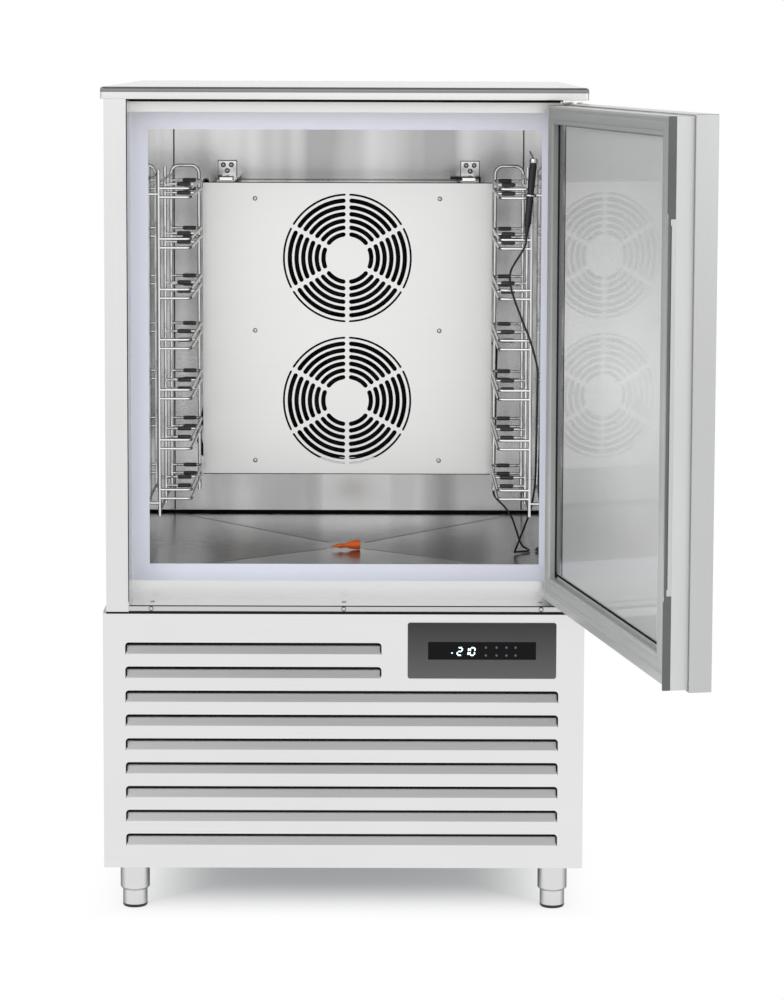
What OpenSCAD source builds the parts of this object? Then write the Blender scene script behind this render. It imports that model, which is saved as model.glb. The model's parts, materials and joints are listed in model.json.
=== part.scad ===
// Blast chiller: insulated cabinet with an open door over a louvred condensing unit.
// Millimetres, +Z up. X runs to the right, Y to the back, and the door opens towards -Y.
// The origin is on the floor, under the middle of the cabinet.

/* [Cabinet] */
// Width of the worktop
worktop_w = 800; // [790:1:860]
// Depth of the worktop
worktop_d = 850; // [840:1:900]
// Height of the worktop's top face
worktop_z = 1386; // [1380:1:1460]
// Thickness of the worktop
worktop_t = 20; // [16:1:30]
// Width of the upper body
body_w = 788; // [780:1:796]
// Width of the lower section
base_w = 800; // [792:1:800]
// Gap from the worktop's back edge to the rear panels
rear_gap = 20; // [18:1:40]
// Thickness of the outer sheets
sheet_t = 1.5; // [1:0.1:2]
// Bottom edge of the lower panels
panel_z0 = 84; // [70:1:110]
// Top edge of the lower panels
panel_z1 = 515; // [506:1:520]
// Height of the ledge under the door, above the lower panels
ledge_h = 13; // [12:1:14]
// How far the front frame lies behind the worktop's front edge
frame_setback = 75; // [75:1:80]
// Width of the fixed left stile
stile_w = 37; // [36:1:38]

/* [Chamber] */
// Height from the ledge to the opening
sill_h = 58; // [55:1:70]
// Height from the opening to the underside of the worktop
head_h = 51; // [46:1:70]
// Gap between the stile and the breaker frame
breaker_gap = 1; // [0.5:0.5:3]
// Depth of the duct between the rear insulation and the rear panels
rear_duct = 44; // [40:1:60]
// Thickness of the liner sheet
liner_t = 1.2; // [0.8:0.1:1.5]
// Thickness of the rear insulation
rear_wall_t = 66; // [55:1:68]
// Width of the side strips of the breaker frame
breaker_w = 29; // [24:1:29]
// Width of its top and bottom strips
breaker_h = 33; // [24:1:33]
// Thickness of the breaker frame
breaker_t = 2; // [1.5:0.1:2.2]
// How far the floor's edge lies below the opening
floor_drop = 12; // [10:1:16]
// Fall of the floor to the drain
floor_fall = 8; // [4:1:8]
// Radius of the drain hole
drain_r = 22; // [18:1:26]
// Distance from the front frame to the drain
drain_back = 312; // [280:1:340]

/* [Door] */
// How far the door stands open
door_angle = 101; // [0:0.5:115]
// Gap between the door's free edge and the stile
door_gap = 3.5; // [3:0.5:8]
// How far the door's hinge edge passes the hinge axis
hinge_edge = 18; // [14:1:18]
// Distance from the body's side to the hinge axis
hinge_side = 17; // [17:1:22]
// Distance from the door's front face to the hinge axis
hinge_in = 20; // [16:1:22]
// Gap above the ledge
door_low_gap = 4; // [4:0.5:8]
// Gap below the worktop
door_top_gap = 6; // [5:0.5:10]
// Thickness of the outer leaf
leaf_t = 34; // [30:1:36]
// Thickness of the inner part
inner_t = 26; // [22:1:26]
// How far the leaf stands past the inner part at the free edge
leaf_over = 7; // [5:0.5:8]
// How far it stands past it above and below
leaf_lip = 3; // [2:0.5:4]
// Thickness of the door's sheets
door_sheet = 1.2; // [0.8:0.1:1.5]
// Width of the gasket
gasket_w = 28; // [22:1:28]
// Clearance between the closed gasket and the breaker frame
gasket_gap = 0.4; // [0.3:0.1:1]
// Length of the grip
grip_len = 538; // [300:1:600]
// How far the grip's middle lies below the door's middle
grip_low = 4; // [0:0.5:40]
// Radius of the hinge pins
hinge_pin_r = 5; // [4:0.5:6]
// Radial clearance of a running fit
run_fit = 0.05; // [0.02:0.01:0.1]

/* [Front panel] */
// Number of louvre rows
louvre_rows = 9; // [6:1:9]
// Rows shortened beside the controls
short_rows = 2; // [1:1:2]
// Distance from the panel's top edge to the first slit
louvre_head = 51; // [48:1:60]
// Distance from the last slit to the panel's bottom edge
louvre_foot = 56; // [40:1:60]
// Height of a slit
slit_h = 4; // [3:0.5:6]
// Height of the flap below a slit
flap_h = 16; // [12:1:18]
// How far a flap leans in
flap_lean = 9; // [6:1:12]
// Distance from the panel's left edge to the louvres
louvre_left = 37; // [30:1:50]
// Distance from the long louvres to the panel's right edge
louvre_right = 42.5; // [35:0.5:60]
// Distance from the short louvres to the control plate
louvre_stop = 43.5; // [30:0.5:60]
// Width of the control plate
fascia_w = 247; // [220:1:250]
// Height of the control plate
fascia_h = 94; // [80:1:95]
// Distance from the panel's right edge to the middle of the control plate
fascia_side = 170; // [165:0.5:180]
// Distance from the panel's top edge to the middle of the control plate
fascia_drop = 61.5; // [58:0.5:62]
// Thickness of the control plate
fascia_t = 1.8; // [1:0.1:3]
// Width of the display window
display_w = 179; // [150:1:190]
// Height of the display window
display_h = 29.5; // [24:0.5:34]

/* [Fans and coils] */
// Distance from the front frame to the fan panel's face
fan_panel_back = 410; // [405:1:415]
// Gap between the fan panel and a side wall
fan_panel_side = 67; // [67:1:80]
// How far the fan panel's middle lies below the opening's middle
fan_panel_low = 5.5; // [0:0.5:12]
// Plain edge of the fan panel below the lower grille
grille_foot = 17; // [12:1:24]
// Plain edge of the fan panel above the upper grille
grille_head = 19; // [12:1:24]
// Gap between the two grilles
grille_gap = 26; // [16:1:32]
// Outer radius of a fan grille
grille_r = 116; // [112:1:120]
// Radius of the grille's plain middle
grille_hub_r = 39; // [34:1:42]
// Width of a ring slot
slot_w = 8; // [6:0.5:9]
// Number of wide ring slots
slot_rings = 6; // [5:1:6]
// Width of a spoke
spoke_w = 6.3; // [5:0.1:8]
// How much smaller the chamber fans are than their grilles
fan_in = 10; // [8:1:20]
// Radius of the condenser fan's blades
cond_fan_r = 135; // [110:1:140]
// Radius of the compressor's shell
compressor_r = 92; // [80:1:95]

/* [Tray racks] */
// Number of tray levels
levels = 7; // [5:1:7]
// Height from the opening's bottom to the lowest upper wire
level_foot = 119; // [116:1:130]
// Height from the highest upper wire to the opening's top
level_head = 100; // [90:1:120]
// Drop from the upper to the lower wire
wire_drop = 15; // [12:1:18]
// Distance from a rack's upright wires to its inner wires
rack_w = 53.6; // [50:0.1:56]
// Depth of a rack
rack_d = 310; // [300:1:320]
// Distance from the front frame to the rack
rack_back = 45; // [43:1:50]
// Radius of the rail wires
rail_r = 2.4; // [2:0.1:2.6]
// Radius of the upright wires
post_r = 2.9; // [2.7:0.1:3.2]
// Distance from the side wall to the upright wires
post_off = 14; // [12:1:16]

/* [Feet] */
// Distance from the lower section's side to the middle of a foot
foot_side = 46; // [46:1:70]
// Distance from the front to the middle of a front foot
foot_front = 73; // [70:1:95]
// Distance from the back to the middle of a rear foot
foot_back = 53; // [50:1:75]
// Radius of the fixed sleeve
sleeve_r = 25; // [23:0.5:27]
// Bottom of the sleeve
sleeve_z = 30; // [24:1:50]
// Radius of the adjustable foot
foot_r = 21; // [18:0.5:21]
// Thickness of the pad under it
pad_t = 5; // [3:0.5:8]

/* [Core probe] */
// Radius of the handle
probe_r = 6.2; // [5:0.1:7]
// Length of the handle
probe_len = 104; // [90:1:110]
// Lean of the handle
probe_lean = 5; // [3:0.5:6]
// Length of the needle
needle_len = 86; // [60:1:100]
// Diameter of the probe's cable
cable_d = 3.6; // [3:0.1:4]

/* [Hidden] */
$fn = 48;
eps = 0.01;
front_y = -worktop_d / 2;
rear_y = worktop_d / 2 - rear_gap;
frame_y = front_y + frame_setback;
breaker_y = frame_y - breaker_t;
under_z = worktop_z - worktop_t;
body_x = body_w / 2;
base_x = base_w / 2;
inner_x = body_x - sheet_t;
stile_x = -body_x + stile_w;
deck_z = panel_z1 + 2;
ledge_z = panel_z1 + ledge_h;
side_wall = stile_w + breaker_gap + breaker_w;
open_w = body_w - 2 * side_wall;
open_x = open_w / 2;
open_z0 = ledge_z + sill_h;
open_z1 = under_z - head_h;
open_mid_z = (open_z0 + open_z1) / 2;
floor_z = open_z0 - floor_drop;
foam_back_y = rear_y - rear_duct;
back_y = foam_back_y - rear_wall_t;
liner_y0 = frame_y + sheet_t;
drain_y = frame_y + drain_back;
tray_z = panel_z0 + 4;
tray_top = tray_z + sheet_t;
sill_screw_xs = [stile_x + 37, 0, body_x - 66];
hinge_x = body_x - hinge_side;

// the louvred panel and the control plate on it
fascia_x = base_x - fascia_side;
fascia_z = panel_z1 - fascia_drop;
louvre_x0 = -base_x + louvre_left;
louvre_x1 = base_x - louvre_right;
louvre_xs = fascia_x - fascia_w / 2 - louvre_stop;
louvre_z = panel_z1 - louvre_head;
louvre_pitch = (louvre_z - louvre_foot - panel_z0) / (louvre_rows - 1);

// the door, drawn closed
door_x0 = stile_x + door_gap;
door_x1 = hinge_x + hinge_edge;
door_z0 = ledge_z + door_low_gap;
door_z1 = under_z - door_top_gap;
leaf_y = front_y + leaf_t;
liner_face_y = leaf_y + inner_t;
gasket_y = breaker_y - gasket_gap;
grip_z = (door_z0 + door_z1) / 2 - grip_low;
// the gasket's outer edges, set by those of the breaker frame
gasket_x0 = -open_x - breaker_w + 15;
gasket_x1 = open_x + breaker_w - 8;
gasket_z0 = open_z0 - breaker_h + 3;
gasket_z1 = open_z1 + breaker_h + 8;
strip_gap = 0.5;
strip_back = 1.5;
pivot = [hinge_x, front_y + hinge_in, 0];
bush_r = hinge_pin_r + 4;
bush_len = 30;
pin_len = 25;
bracket_t = 3;

// fan panel, its fixings, the fans and the coil behind it
fan_face_y = frame_y + fan_panel_back;
fan_panel_w = open_w - 2 * fan_panel_side;
fan_panel_h = grille_foot + 4 * grille_r + grille_gap + grille_head;
fan_panel_z0 = open_mid_z - fan_panel_low - fan_panel_h / 2;
fan_panel_z1 = fan_panel_z0 + fan_panel_h;
fan_z = fan_panel_z0 + grille_foot + grille_r;
fan_pitch = 2 * grille_r + grille_gap;
fan_zs = [fan_z, fan_z + fan_pitch];
fan_r = grille_r - fan_in;
slot_rim = 0.4;
slot_pitch = (grille_r - grille_hub_r - slot_w / 2 - slot_rim) / slot_rings;
panel_lip = 15;
panel_screw_x = fan_panel_w / 2 - 94;
panel_screw_zs = [fan_panel_z0 + 24, (fan_panel_z0 + fan_panel_z1) / 2 - 3, fan_panel_z1 - 28];
wall_plate_x = fan_panel_w / 2 - 33;
hook_x = fan_panel_w / 2 - 42;
arm_z = fan_panel_z1 + 2;
arm_t = 3;
blade_y = fan_face_y + 20;
arms_y = fan_face_y + 46;
motor_r = 38;
motor_len = 36;
shaft_r = 4;
shaft_in = 24;
ring_clear = 5;
coil_y0 = fan_face_y + 92;
coil_y1 = back_y - 20;
coil_mid_y = (coil_y0 + coil_y1) / 2;
coil_x = fan_panel_w / 2 - 15;
coil_z0 = fan_panel_z0 + 8;
coil_z1 = fan_panel_z1 - 8;
coil_skin = 8;

rack_y0 = frame_y + rack_back;
rack_y1 = rack_y0 + rack_d;
rack_mid_y = rack_y0 + rack_d / 2;
post_x = open_x - post_off;
rail_x = post_x - rack_w;
loop_x = rail_x + 4;
level_z = open_z0 + level_foot;
level_pitch = (open_z1 - level_head - level_z) / (levels - 1);
rack_bottom = level_z - 45;
rack_top = level_z + (levels - 1) * level_pitch + 30;
loop_top = rack_top - 4;
sleeve_from = 9;
sleeve_to = 31;

// the condensing unit
cond_x0 = -base_x + 48;
cond_x1 = -10;
cond_y0 = front_y + 45;
cond_y1 = cond_y0 + 60;
cond_z1 = panel_z1 - 68;
cond_fan_x = (cond_x0 + cond_x1) / 2;
cond_fan_z = cond_z1 - cond_fan_r - 20;
cond_blade_y = cond_y1 + 30;
cond_arms_y = cond_y1 + 66;
cond_motor_r = 44;
compressor_at = [200, 90, tray_top];
compressor_lift = 18;
compressor_h = 190;
mount_r = compressor_r + 10;
receiver_at = [-120, 210, tray_top];
receiver_r = 50;
receiver_h = 230;

// refrigerant pipes through the back wall, and the drain
pipe_xs = [-coil_x + 45, -coil_x + 85];
pipe_z = fan_panel_z0 - 8;
pipe_sleeve_r = 12;
duct_y = (foam_back_y + rear_y - sheet_t) / 2;
drain_pipe_r = 15;
drain_wall = 2;
spigot_r = 16;
spigot_len = 34;
spigot_z = panel_z0 - spigot_len;
flange_t = 3;
flange_z = floor_z - floor_fall - liner_t - flange_t;

// feet
foot_x = base_x - foot_side;
foot_ys = [front_y + foot_front, rear_y - foot_back];
foot_plate = 42;

// rear vents and the mains cable's entry
vent_x = 170;
vent_w = 250;
vent_h = 8;
vent_z = 210;
vent_pitch = 22;
vent_rows = 12;
mains_x = base_x - 78;
mains_z = 150;
mains_r = 6;

// the core probe hangs in a ring on the right rack, in front of its front upright
probe_at = [post_x - 8, rack_y0 - 20, rack_top - 89];
relief_len = 21;
clip_z = 50;
cable_exit = probe_at - relief_len * [sin(probe_lean), 0, cos(probe_lean)];
gland_at = [coil_x + 12, coil_y0 + 28, coil_z0 + 218];
// the probe's cable, from the handle down to the floor, round and up behind the fan panel
cable_points = [
    [302, -325, 1122], [294, -328, 1108], [285, -330, 1094], [278, -331, 1081],
    [276, -331, 1067], [278, -331, 1052], [284, -331, 1031], [300, -329, 989],
    [310, -328, 965], [323, -326, 918], [324, -324, 885], [324, -296, 770],
    [324, -268, 712], [319, -244, 668], [311, -224, 636], [297, -191, 590],
    [294, -180, 579], [297, -169, 577], [306, -163, 577], [316, -158, 577],
    [321, -148, 577], [319, -137, 577], [311, -125, 580], [305, -108, 590],
    [300, -88, 605], [293, -63, 623], [281, -32, 637], [271, -6, 644],
    [265, 14, 651], [264, 25, 668], [266, 29, 710], [268, 33, 850],
    [269, 45, 890], [271, 80, 908], [273, 148, 911], [271, 166, 909],
    [265, 177, 908], [257, 180, 908], [250, 180, 908]
];
// the fans' wiring, in a black sleeve round the coil and behind the fan panel's left edge:
// its upper points from the coil's upper left edge, and its lower points from the lower one
conduit_upper = [
    [0, 18, -20], [-5, 18, -20], [-11, 16, -18], [-16, 4, -8], [-15, -18, 5],
    [-11, -42, 9], [-9, -58, 1], [-9, -62, -20], [-9, -62, -120], [-9, -62, -240]
];
conduit_lower = [
    [-9, -62, 170], [-12, -62, 110], [-21, -62, 78], [-25, -60, 58], [-22, -52, 38],
    [-19, -34, 22], [-18, -8, 16], [-15, 10, 16], [-10, 17, 16], [-5, 18, 16], [0, 18, 16]
];
conduit_points = concat(
    [for (p = conduit_upper) p + [-coil_x, coil_y0, coil_z1]],
    [for (p = conduit_lower) p + [-coil_x, coil_y0, coil_z0]]);

// shared shapes

module block(low, high) {
    translate(low) cube(high - low);
}

module rod_x(x0, x1, y, z, r) {
    translate([x0, y, z]) rotate([0, 90, 0]) cylinder(r = r, h = x1 - x0);
}

module rod_y(x, y0, y1, z, r) {
    translate([x, y0, z]) rotate([-90, 0, 0]) cylinder(r = r, h = y1 - y0);
}

module rod_z(x, y, z0, z1, r) {
    translate([x, y, z0]) cylinder(r = r, h = z1 - z0);
}

module rounded_rect(w, h, r) {
    square([w - 2 * r, h], center = true);
    square([w, h - 2 * r], center = true);
    for (x = [-1, 1], y = [-1, 1])
        translate([x * (w / 2 - r), y * (h / 2 - r)]) circle(r = r);
}

// a plate in the X-Z plane, whose front is at y
module plate(x, z, y, t) {
    translate([x, y + t, z]) rotate([90, 0, 0]) linear_extrude(t) children();
}

// a straight pipe from a to b
module pipe(a, b, r) {
    v = b - a;
    translate(a)
        rotate([0, acos(v[2] / norm(v)), atan2(v[1], v[0])])
            cylinder(r = r, h = norm(v));
}

// pipes along a list of points, with a brazed block elbow at each corner
module pipe_run(points, r) {
    half = [1, 1, 1] * r * 1.25;
    for (i = [0 : len(points) - 2]) pipe(points[i], points[i + 1], r);
    for (i = [1 : len(points) - 2]) block(points[i] - half, points[i] + half);
}

// a tube swept along points: a smooth curve through them, with parallel rings
function curve_at(p, i, t) =
    let (n = len(p) - 1,
         a = p[max(i - 1, 0)], b = p[i], c = p[min(i + 1, n)], d = p[min(i + 2, n)])
    0.5 * (2 * b + (c - a) * t + (2 * a - 5 * b + 4 * c - d) * t * t
           + (3 * b - a - 3 * c + d) * t * t * t);
function refine(p, steps) = concat(
    [for (i = [0 : len(p) - 2], k = [0 : steps - 1]) curve_at(p, i, k / steps)],
    [p[len(p) - 1]]);
function unit(v) = v / norm(v);
function heading(p, i) = unit(p[min(i + 1, len(p) - 1)] - p[max(i - 1, 0)]);
function square_to(v, h) = unit(v - (v * h) * h);
function ring_sides(p, i, side) =
    i >= len(p) ? [] : let (s = square_to(side, heading(p, i)))
    concat([s], ring_sides(p, i + 1, s));
function tube_points(p, r, sides, start) =
    let (across = ring_sides(p, 0, start))
    [for (i = [0 : len(p) - 1], k = [0 : sides - 1])
        let (h = heading(p, i), u = across[i], v = cross(h, u), a = 360 * k / sides)
        p[i] + r * (cos(a) * u + sin(a) * v)];
function tube_faces(rings, sides) = concat(
    [[for (k = [0 : sides - 1]) k]],
    [for (i = [0 : rings - 2], k = [0 : sides - 1])
        let (a = i * sides + k, b = i * sides + (k + 1) % sides) [a, a + sides, b]],
    [for (i = [0 : rings - 2], k = [0 : sides - 1])
        let (a = i * sides + k, b = i * sides + (k + 1) % sides) [b, a + sides, b + sides]],
    [[for (k = [sides - 1 : -1 : 0]) (rings - 1) * sides + k]]);

module swept_tube(points, r, sides, steps, start) {
    p = refine(points, steps);
    polyhedron(tube_points(p, r, sides, start), tube_faces(len(p), sides));
}

module door_place() {
    translate(pivot) rotate([0, 0, door_angle]) translate(-pivot) children();
}

// cabinet

module worktop() {
    color("gainsboro") difference() {
        block([-worktop_w / 2, front_y, under_z], [worktop_w / 2, -front_y, worktop_z]);
        block([-worktop_w / 2 + sheet_t, front_y + sheet_t, under_z - 1],
              [worktop_w / 2 - sheet_t, -front_y - sheet_t, worktop_z - sheet_t]);
    }
}

module worktop_core() {
    color("burlywood")
        block([-worktop_w / 2 + sheet_t, front_y + sheet_t, under_z],
              [worktop_w / 2 - sheet_t, -front_y - sheet_t, worktop_z - sheet_t]);
}

module left_side_panel() {
    color("silver") union() {
        block([-body_x, front_y, deck_z], [-inner_x, rear_y, under_z]);
        block([-body_x, front_y, deck_z], [stile_x, front_y + sheet_t, under_z]);
        block([stile_x - sheet_t, front_y, deck_z], [stile_x, liner_y0, under_z]);
    }
}

module right_side_panel() {
    color("silver") block([inner_x, frame_y, deck_z], [body_x, rear_y, under_z]);
}

module rear_panel() {
    color("silver")
        block([-inner_x, rear_y - sheet_t, deck_z], [inner_x, rear_y, under_z]);
}

module cabinet_insulation() {
    color("khaki") difference() {
        block([-inner_x, liner_y0, deck_z], [inner_x, foam_back_y, under_z]);
        block([-open_x - liner_t, frame_y, floor_z - 12],
              [open_x + liner_t, back_y + liner_t, open_z1 + liner_t]);
        translate([0, drain_y, 0]) cylinder(r = drain_r + 1, h = floor_z);
        translate([0, drain_y, flange_z]) cylinder(r = drain_r + 11, h = 2 * flange_t);
        for (x = pipe_xs) rod_y(x, back_y, foam_back_y + 1, pipe_z, pipe_sleeve_r);
    }
}

module chamber_liner() {
    color("lightgray") difference() {
        block([-open_x - liner_t, liner_y0, floor_z - 12],
              [open_x + liner_t, back_y + liner_t, open_z1 + liner_t]);
        block([-open_x, liner_y0 + liner_t, floor_z - 13], [open_x, back_y, open_z1]);
        block([-open_x, frame_y, open_z0], [open_x, back_y, open_z1]);
        for (x = pipe_xs) rod_y(x, back_y - 1, back_y + 2, pipe_z, pipe_sleeve_r);
    }
}

// four sloping sheets that meet in creases from the corners to the drain
module sump_floor() {
    y0 = liner_y0 + liner_t;
    c = drain_r + 12;
    low = floor_z - floor_fall;
    top = [[-open_x, y0, floor_z], [open_x, y0, floor_z],
           [open_x, back_y, floor_z], [-open_x, back_y, floor_z],
           [-c, drain_y - c, low], [c, drain_y - c, low],
           [c, drain_y + c, low], [-c, drain_y + c, low]];
    under = [for (p = top) p - [0, 0, liner_t]];
    quads = [[0, 1, 5, 4], [1, 2, 6, 5], [2, 3, 7, 6], [3, 0, 4, 7]];
    color("lightgray") difference() {
        polyhedron(concat(top, under), concat(
            [[7, 6, 5, 4]],
            [for (q = quads) [q[3], q[2], q[1], q[0]]],
            [[12, 13, 14, 15]],
            [for (q = quads) [q[0] + 8, q[1] + 8, q[2] + 8, q[3] + 8]],
            [for (k = [0 : 3]) [k, k + 8, (k + 1) % 4 + 8, (k + 1) % 4]]));
        translate([0, drain_y, low - 5]) cylinder(r = drain_r, h = 10);
    }
}

module front_frame() {
    color("silver") difference() {
        block([stile_x, frame_y, ledge_z], [inner_x, liner_y0, under_z]);
        block([-open_x, frame_y - 1, open_z0], [open_x, liner_y0 + 1, open_z1]);
    }
}

module breaker_frame() {
    color("lavender") difference() {
        block([-open_x - breaker_w, breaker_y, open_z0 - breaker_h],
              [open_x + breaker_w, frame_y, open_z1 + breaker_h]);
        block([-open_x, breaker_y - 1, open_z0], [open_x, frame_y + 1, open_z1]);
    }
}

module sill_trim() {
    color("silver") difference() {
        block([stile_x, front_y + 4, deck_z], [body_x, frame_y, ledge_z]);
        block([stile_x - 1, front_y + 4 + sheet_t, deck_z - 1],
              [body_x + 1, frame_y + 1, ledge_z - sheet_t]);
    }
}

module panel_screws() {
    color("gray") {
        for (x = sill_screw_xs) {
            rod_z(x, front_y + 40, ledge_z, ledge_z + 1.2, 4);
            rod_y(x, front_y + 2.8, front_y + 4, (deck_z + ledge_z) / 2, 4);
        }
        for (x = [-1, 1], z = panel_screw_zs)
            rod_y(x * panel_screw_x, fan_face_y - 1.8, fan_face_y, z, 4);
    }
}

// one louvre, cut open above and at both ends, its flap leaning in from the bottom edge
module louvre_hole(x0, x1, z) {
    high = slit_h + flap_h;
    corner_r = 6;
    plate((x0 + x1) / 2, z + slit_h / 2 - high / 2, front_y - 1, sheet_t + 2) {
        translate([0, -corner_r / 2]) square([x1 - x0, high - corner_r], center = true);
        square([x1 - x0 - 2 * corner_r, high], center = true);
        for (x = [-1, 1])
            translate([x * ((x1 - x0) / 2 - corner_r), high / 2 - corner_r])
                circle(r = corner_r);
    }
}

module louvre_flap(x0, x1, z) {
    foot_z = z - slit_h / 2 - flap_h;
    t = 1.2;
    translate([x0 + 1, 0, 0]) rotate([90, 0, 90]) linear_extrude(x1 - x0 - 2)
        polygon([[front_y, foot_z - 1], [front_y, foot_z + 1],
                 [front_y + flap_lean, foot_z + flap_h],
                 [front_y + flap_lean + t, foot_z + flap_h],
                 [front_y + sheet_t, foot_z - 1]]);
}

function row_end(i) = i < short_rows ? louvre_xs : louvre_x1;

module louvre_panel() {
    color("silver") union() {
        difference() {
            block([-base_x, front_y, panel_z0], [base_x, front_y + sheet_t, panel_z1]);
            for (i = [0 : louvre_rows - 1])
                louvre_hole(louvre_x0, row_end(i), louvre_z - i * louvre_pitch);
            plate(fascia_x, fascia_z, front_y - 1, sheet_t + 2)
                square([fascia_w - 20, fascia_h - 20], center = true);
        }
        for (i = [0 : louvre_rows - 1])
            louvre_flap(louvre_x0, row_end(i), louvre_z - i * louvre_pitch);
        block([-base_x + sheet_t, front_y, panel_z1 - sheet_t],
              [base_x - sheet_t, front_y + 12, panel_z1]);
    }
}

module control_fascia() {
    color("dimgray") plate(fascia_x, fascia_z, front_y - fascia_t, fascia_t) difference() {
        rounded_rect(fascia_w, fascia_h, 4);
        square([display_w + 0.4, display_h + 0.4], center = true);
    }
}

module display_window() {
    color("black") union() {
        plate(fascia_x, fascia_z, front_y - fascia_t - 0.3, fascia_t + 0.3)
            square([display_w, display_h], center = true);
        plate(fascia_x, fascia_z, front_y, 4)
            square([fascia_w - 20, fascia_h - 20], center = true);
    }
}

module control_box() {
    x0 = fascia_x - fascia_w / 2 + 6;
    x1 = fascia_x + fascia_w / 2 - 6;
    z0 = fascia_z - fascia_h / 2 + 6;
    z1 = fascia_z + fascia_h / 2 - 6;
    y0 = front_y + sheet_t;
    color("slategray") difference() {
        block([x0, y0, z0], [x1, y0 + 70, z1]);
        block([x0 + 2, y0 - 1, z0 + 2], [x1 - 2, y0 + 68, z1 - 2]);
    }
}

// lower section

module base_tray() {
    x = base_x - sheet_t;
    color("silver") difference() {
        block([-x, front_y + sheet_t, tray_z], [x, rear_y - sheet_t, tray_z + 22]);
        block([-x + sheet_t, front_y + 2 * sheet_t, tray_top],
              [x - sheet_t, rear_y - 2 * sheet_t, tray_z + 23]);
        translate([0, drain_y, tray_z - 1]) cylinder(r = drain_pipe_r + 0.5, h = 5);
    }
}

module lower_side() {
    block([base_x - sheet_t, front_y + sheet_t, panel_z0], [base_x, rear_y, panel_z1]);
}

module lower_left_panel() {
    color("silver") mirror([1, 0, 0]) lower_side();
}

module lower_right_panel() {
    color("silver") lower_side();
}

module rear_grille() {
    x = base_x - sheet_t;
    color("silver") difference() {
        block([-x, rear_y - sheet_t, panel_z0], [x, rear_y, panel_z1]);
        for (k = [-1, 1], i = [0 : vent_rows - 1])
            plate(k * vent_x, vent_z + i * vent_pitch, rear_y - sheet_t - 1, sheet_t + 2)
                rounded_rect(vent_w, vent_h, vent_h / 2 - 0.1);
        rod_y(mains_x, rear_y - 10, rear_y + 1, mains_z, mains_r + 4);
    }
}

module compartment_deck() {
    color("silver") difference() {
        block([-base_x, front_y + 10, panel_z1], [base_x, rear_y, deck_z]);
        translate([0, drain_y, panel_z1 - 1]) cylinder(r = drain_pipe_r + 0.5, h = 4);
        block([pipe_xs[0] - 40, foam_back_y + 4, panel_z1 - 1],
              [pipe_xs[1] + 40, rear_y - 4, deck_z + 1]);
    }
}

// evaporator and its fans

module ring_slot(inner, wide) {
    difference() {
        circle(r = inner + wide);
        circle(r = inner);
        for (a = [0, 60, 120]) rotate(a + 90)
            square([2 * grille_r + 10, spoke_w], center = true);
    }
}

module grille_slots() {
    for (i = [0 : slot_rings - 1]) ring_slot(grille_hub_r + i * slot_pitch, slot_w);
    ring_slot(grille_r - slot_w / 2 + 0.2, slot_w / 2);
}

module fan_panel() {
    x = fan_panel_w / 2;
    color("silver") difference() {
        block([-x, fan_face_y, fan_panel_z0], [x, fan_face_y + panel_lip, fan_panel_z1]);
        block([-x + sheet_t, fan_face_y + sheet_t, fan_panel_z0 + sheet_t],
              [x - sheet_t, fan_face_y + panel_lip + 1, fan_panel_z1 - sheet_t]);
        for (z = fan_zs) plate(0, z, fan_face_y - 1, sheet_t + 2) grille_slots();
    }
}

// a plate on the back wall, its screws, and the arm that hooks over the panel
module hook_bracket(k) {
    plate_half = 17.5;
    hook_half = 16;
    hook_y = fan_face_y - arm_t - 1;
    difference() {
        union() {
            block([k * wall_plate_x - plate_half, back_y - arm_t, arm_z],
                  [k * wall_plate_x + plate_half, back_y, arm_z + 29]);
            block([k * hook_x - hook_half, hook_y, arm_z],
                  [k * hook_x + hook_half, back_y, arm_z + arm_t]);
            block([k * hook_x - hook_half, hook_y, fan_panel_z1 - 6],
                  [k * hook_x + hook_half, fan_face_y - 1, arm_z + arm_t]);
        }
        block([k * hook_x - hook_half + arm_t, hook_y - 2, fan_panel_z1 - 8],
              [k * hook_x + hook_half - arm_t, fan_face_y, arm_z]);
    }
    for (p = [[-7.5, 21], [7.5, 21], [0, 10]])
        rod_y(k * wall_plate_x + p[0], back_y - arm_t - 2, back_y - arm_t, arm_z + p[1], 3);
}

// a channel from the panel's screws to the coil
module panel_rail(k) {
    rail_half = 12;
    difference() {
        block([k * panel_screw_x - rail_half, fan_face_y + sheet_t, coil_z0],
              [k * panel_screw_x + rail_half, coil_y0, coil_z1]);
        block([k * panel_screw_x - rail_half + sheet_t, fan_face_y + 2 * sheet_t, coil_z0 - 1],
              [k * panel_screw_x + rail_half - sheet_t, coil_y0 + 1, coil_z1 + 1]);
    }
}

module fan_panel_brackets() {
    color("lightgray") for (k = [-1, 1]) {
        hook_bracket(k);
        panel_rail(k);
    }
}

// a ring and four arms that carry a motor behind a fan
module fan_mount(r, y0, y1, hub_r) {
    difference() {
        rod_y(0, y0, y1, 0, r + ring_clear + 2);
        rod_y(0, y0 - 1, y1 + 1, 0, r + ring_clear);
    }
    difference() {
        intersection() {
            rod_y(0, y1 - 3, y1, 0, r + ring_clear + 1);
            union() {
                for (a = [45, 135]) rotate([0, a, 0])
                    block([-r - 20, y1 - 4, -8], [r + 20, y1 + 1, 8]);
                rod_y(0, y1 - 4, y1 + 1, 0, hub_r);
            }
        }
        rod_y(0, y1 - 5, y1 + 1, 0, shaft_r + 4);
    }
}

module fan_rings() {
    color("slategray") for (z = fan_zs) translate([0, 0, z])
        fan_mount(fan_r, fan_face_y + sheet_t, arms_y, motor_r);
}

// a motor whose bore holds the fan's shaft
module motor(y0, r, len) {
    difference() {
        union() {
            rod_y(0, y0, y0 + len, 0, r);
            rod_y(0, y0 + len, y0 + len + 4, 0, r * 0.45);
        }
        rod_y(0, y0 - 1, y0 + shaft_in + 1, 0, shaft_r + run_fit);
    }
}

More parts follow.
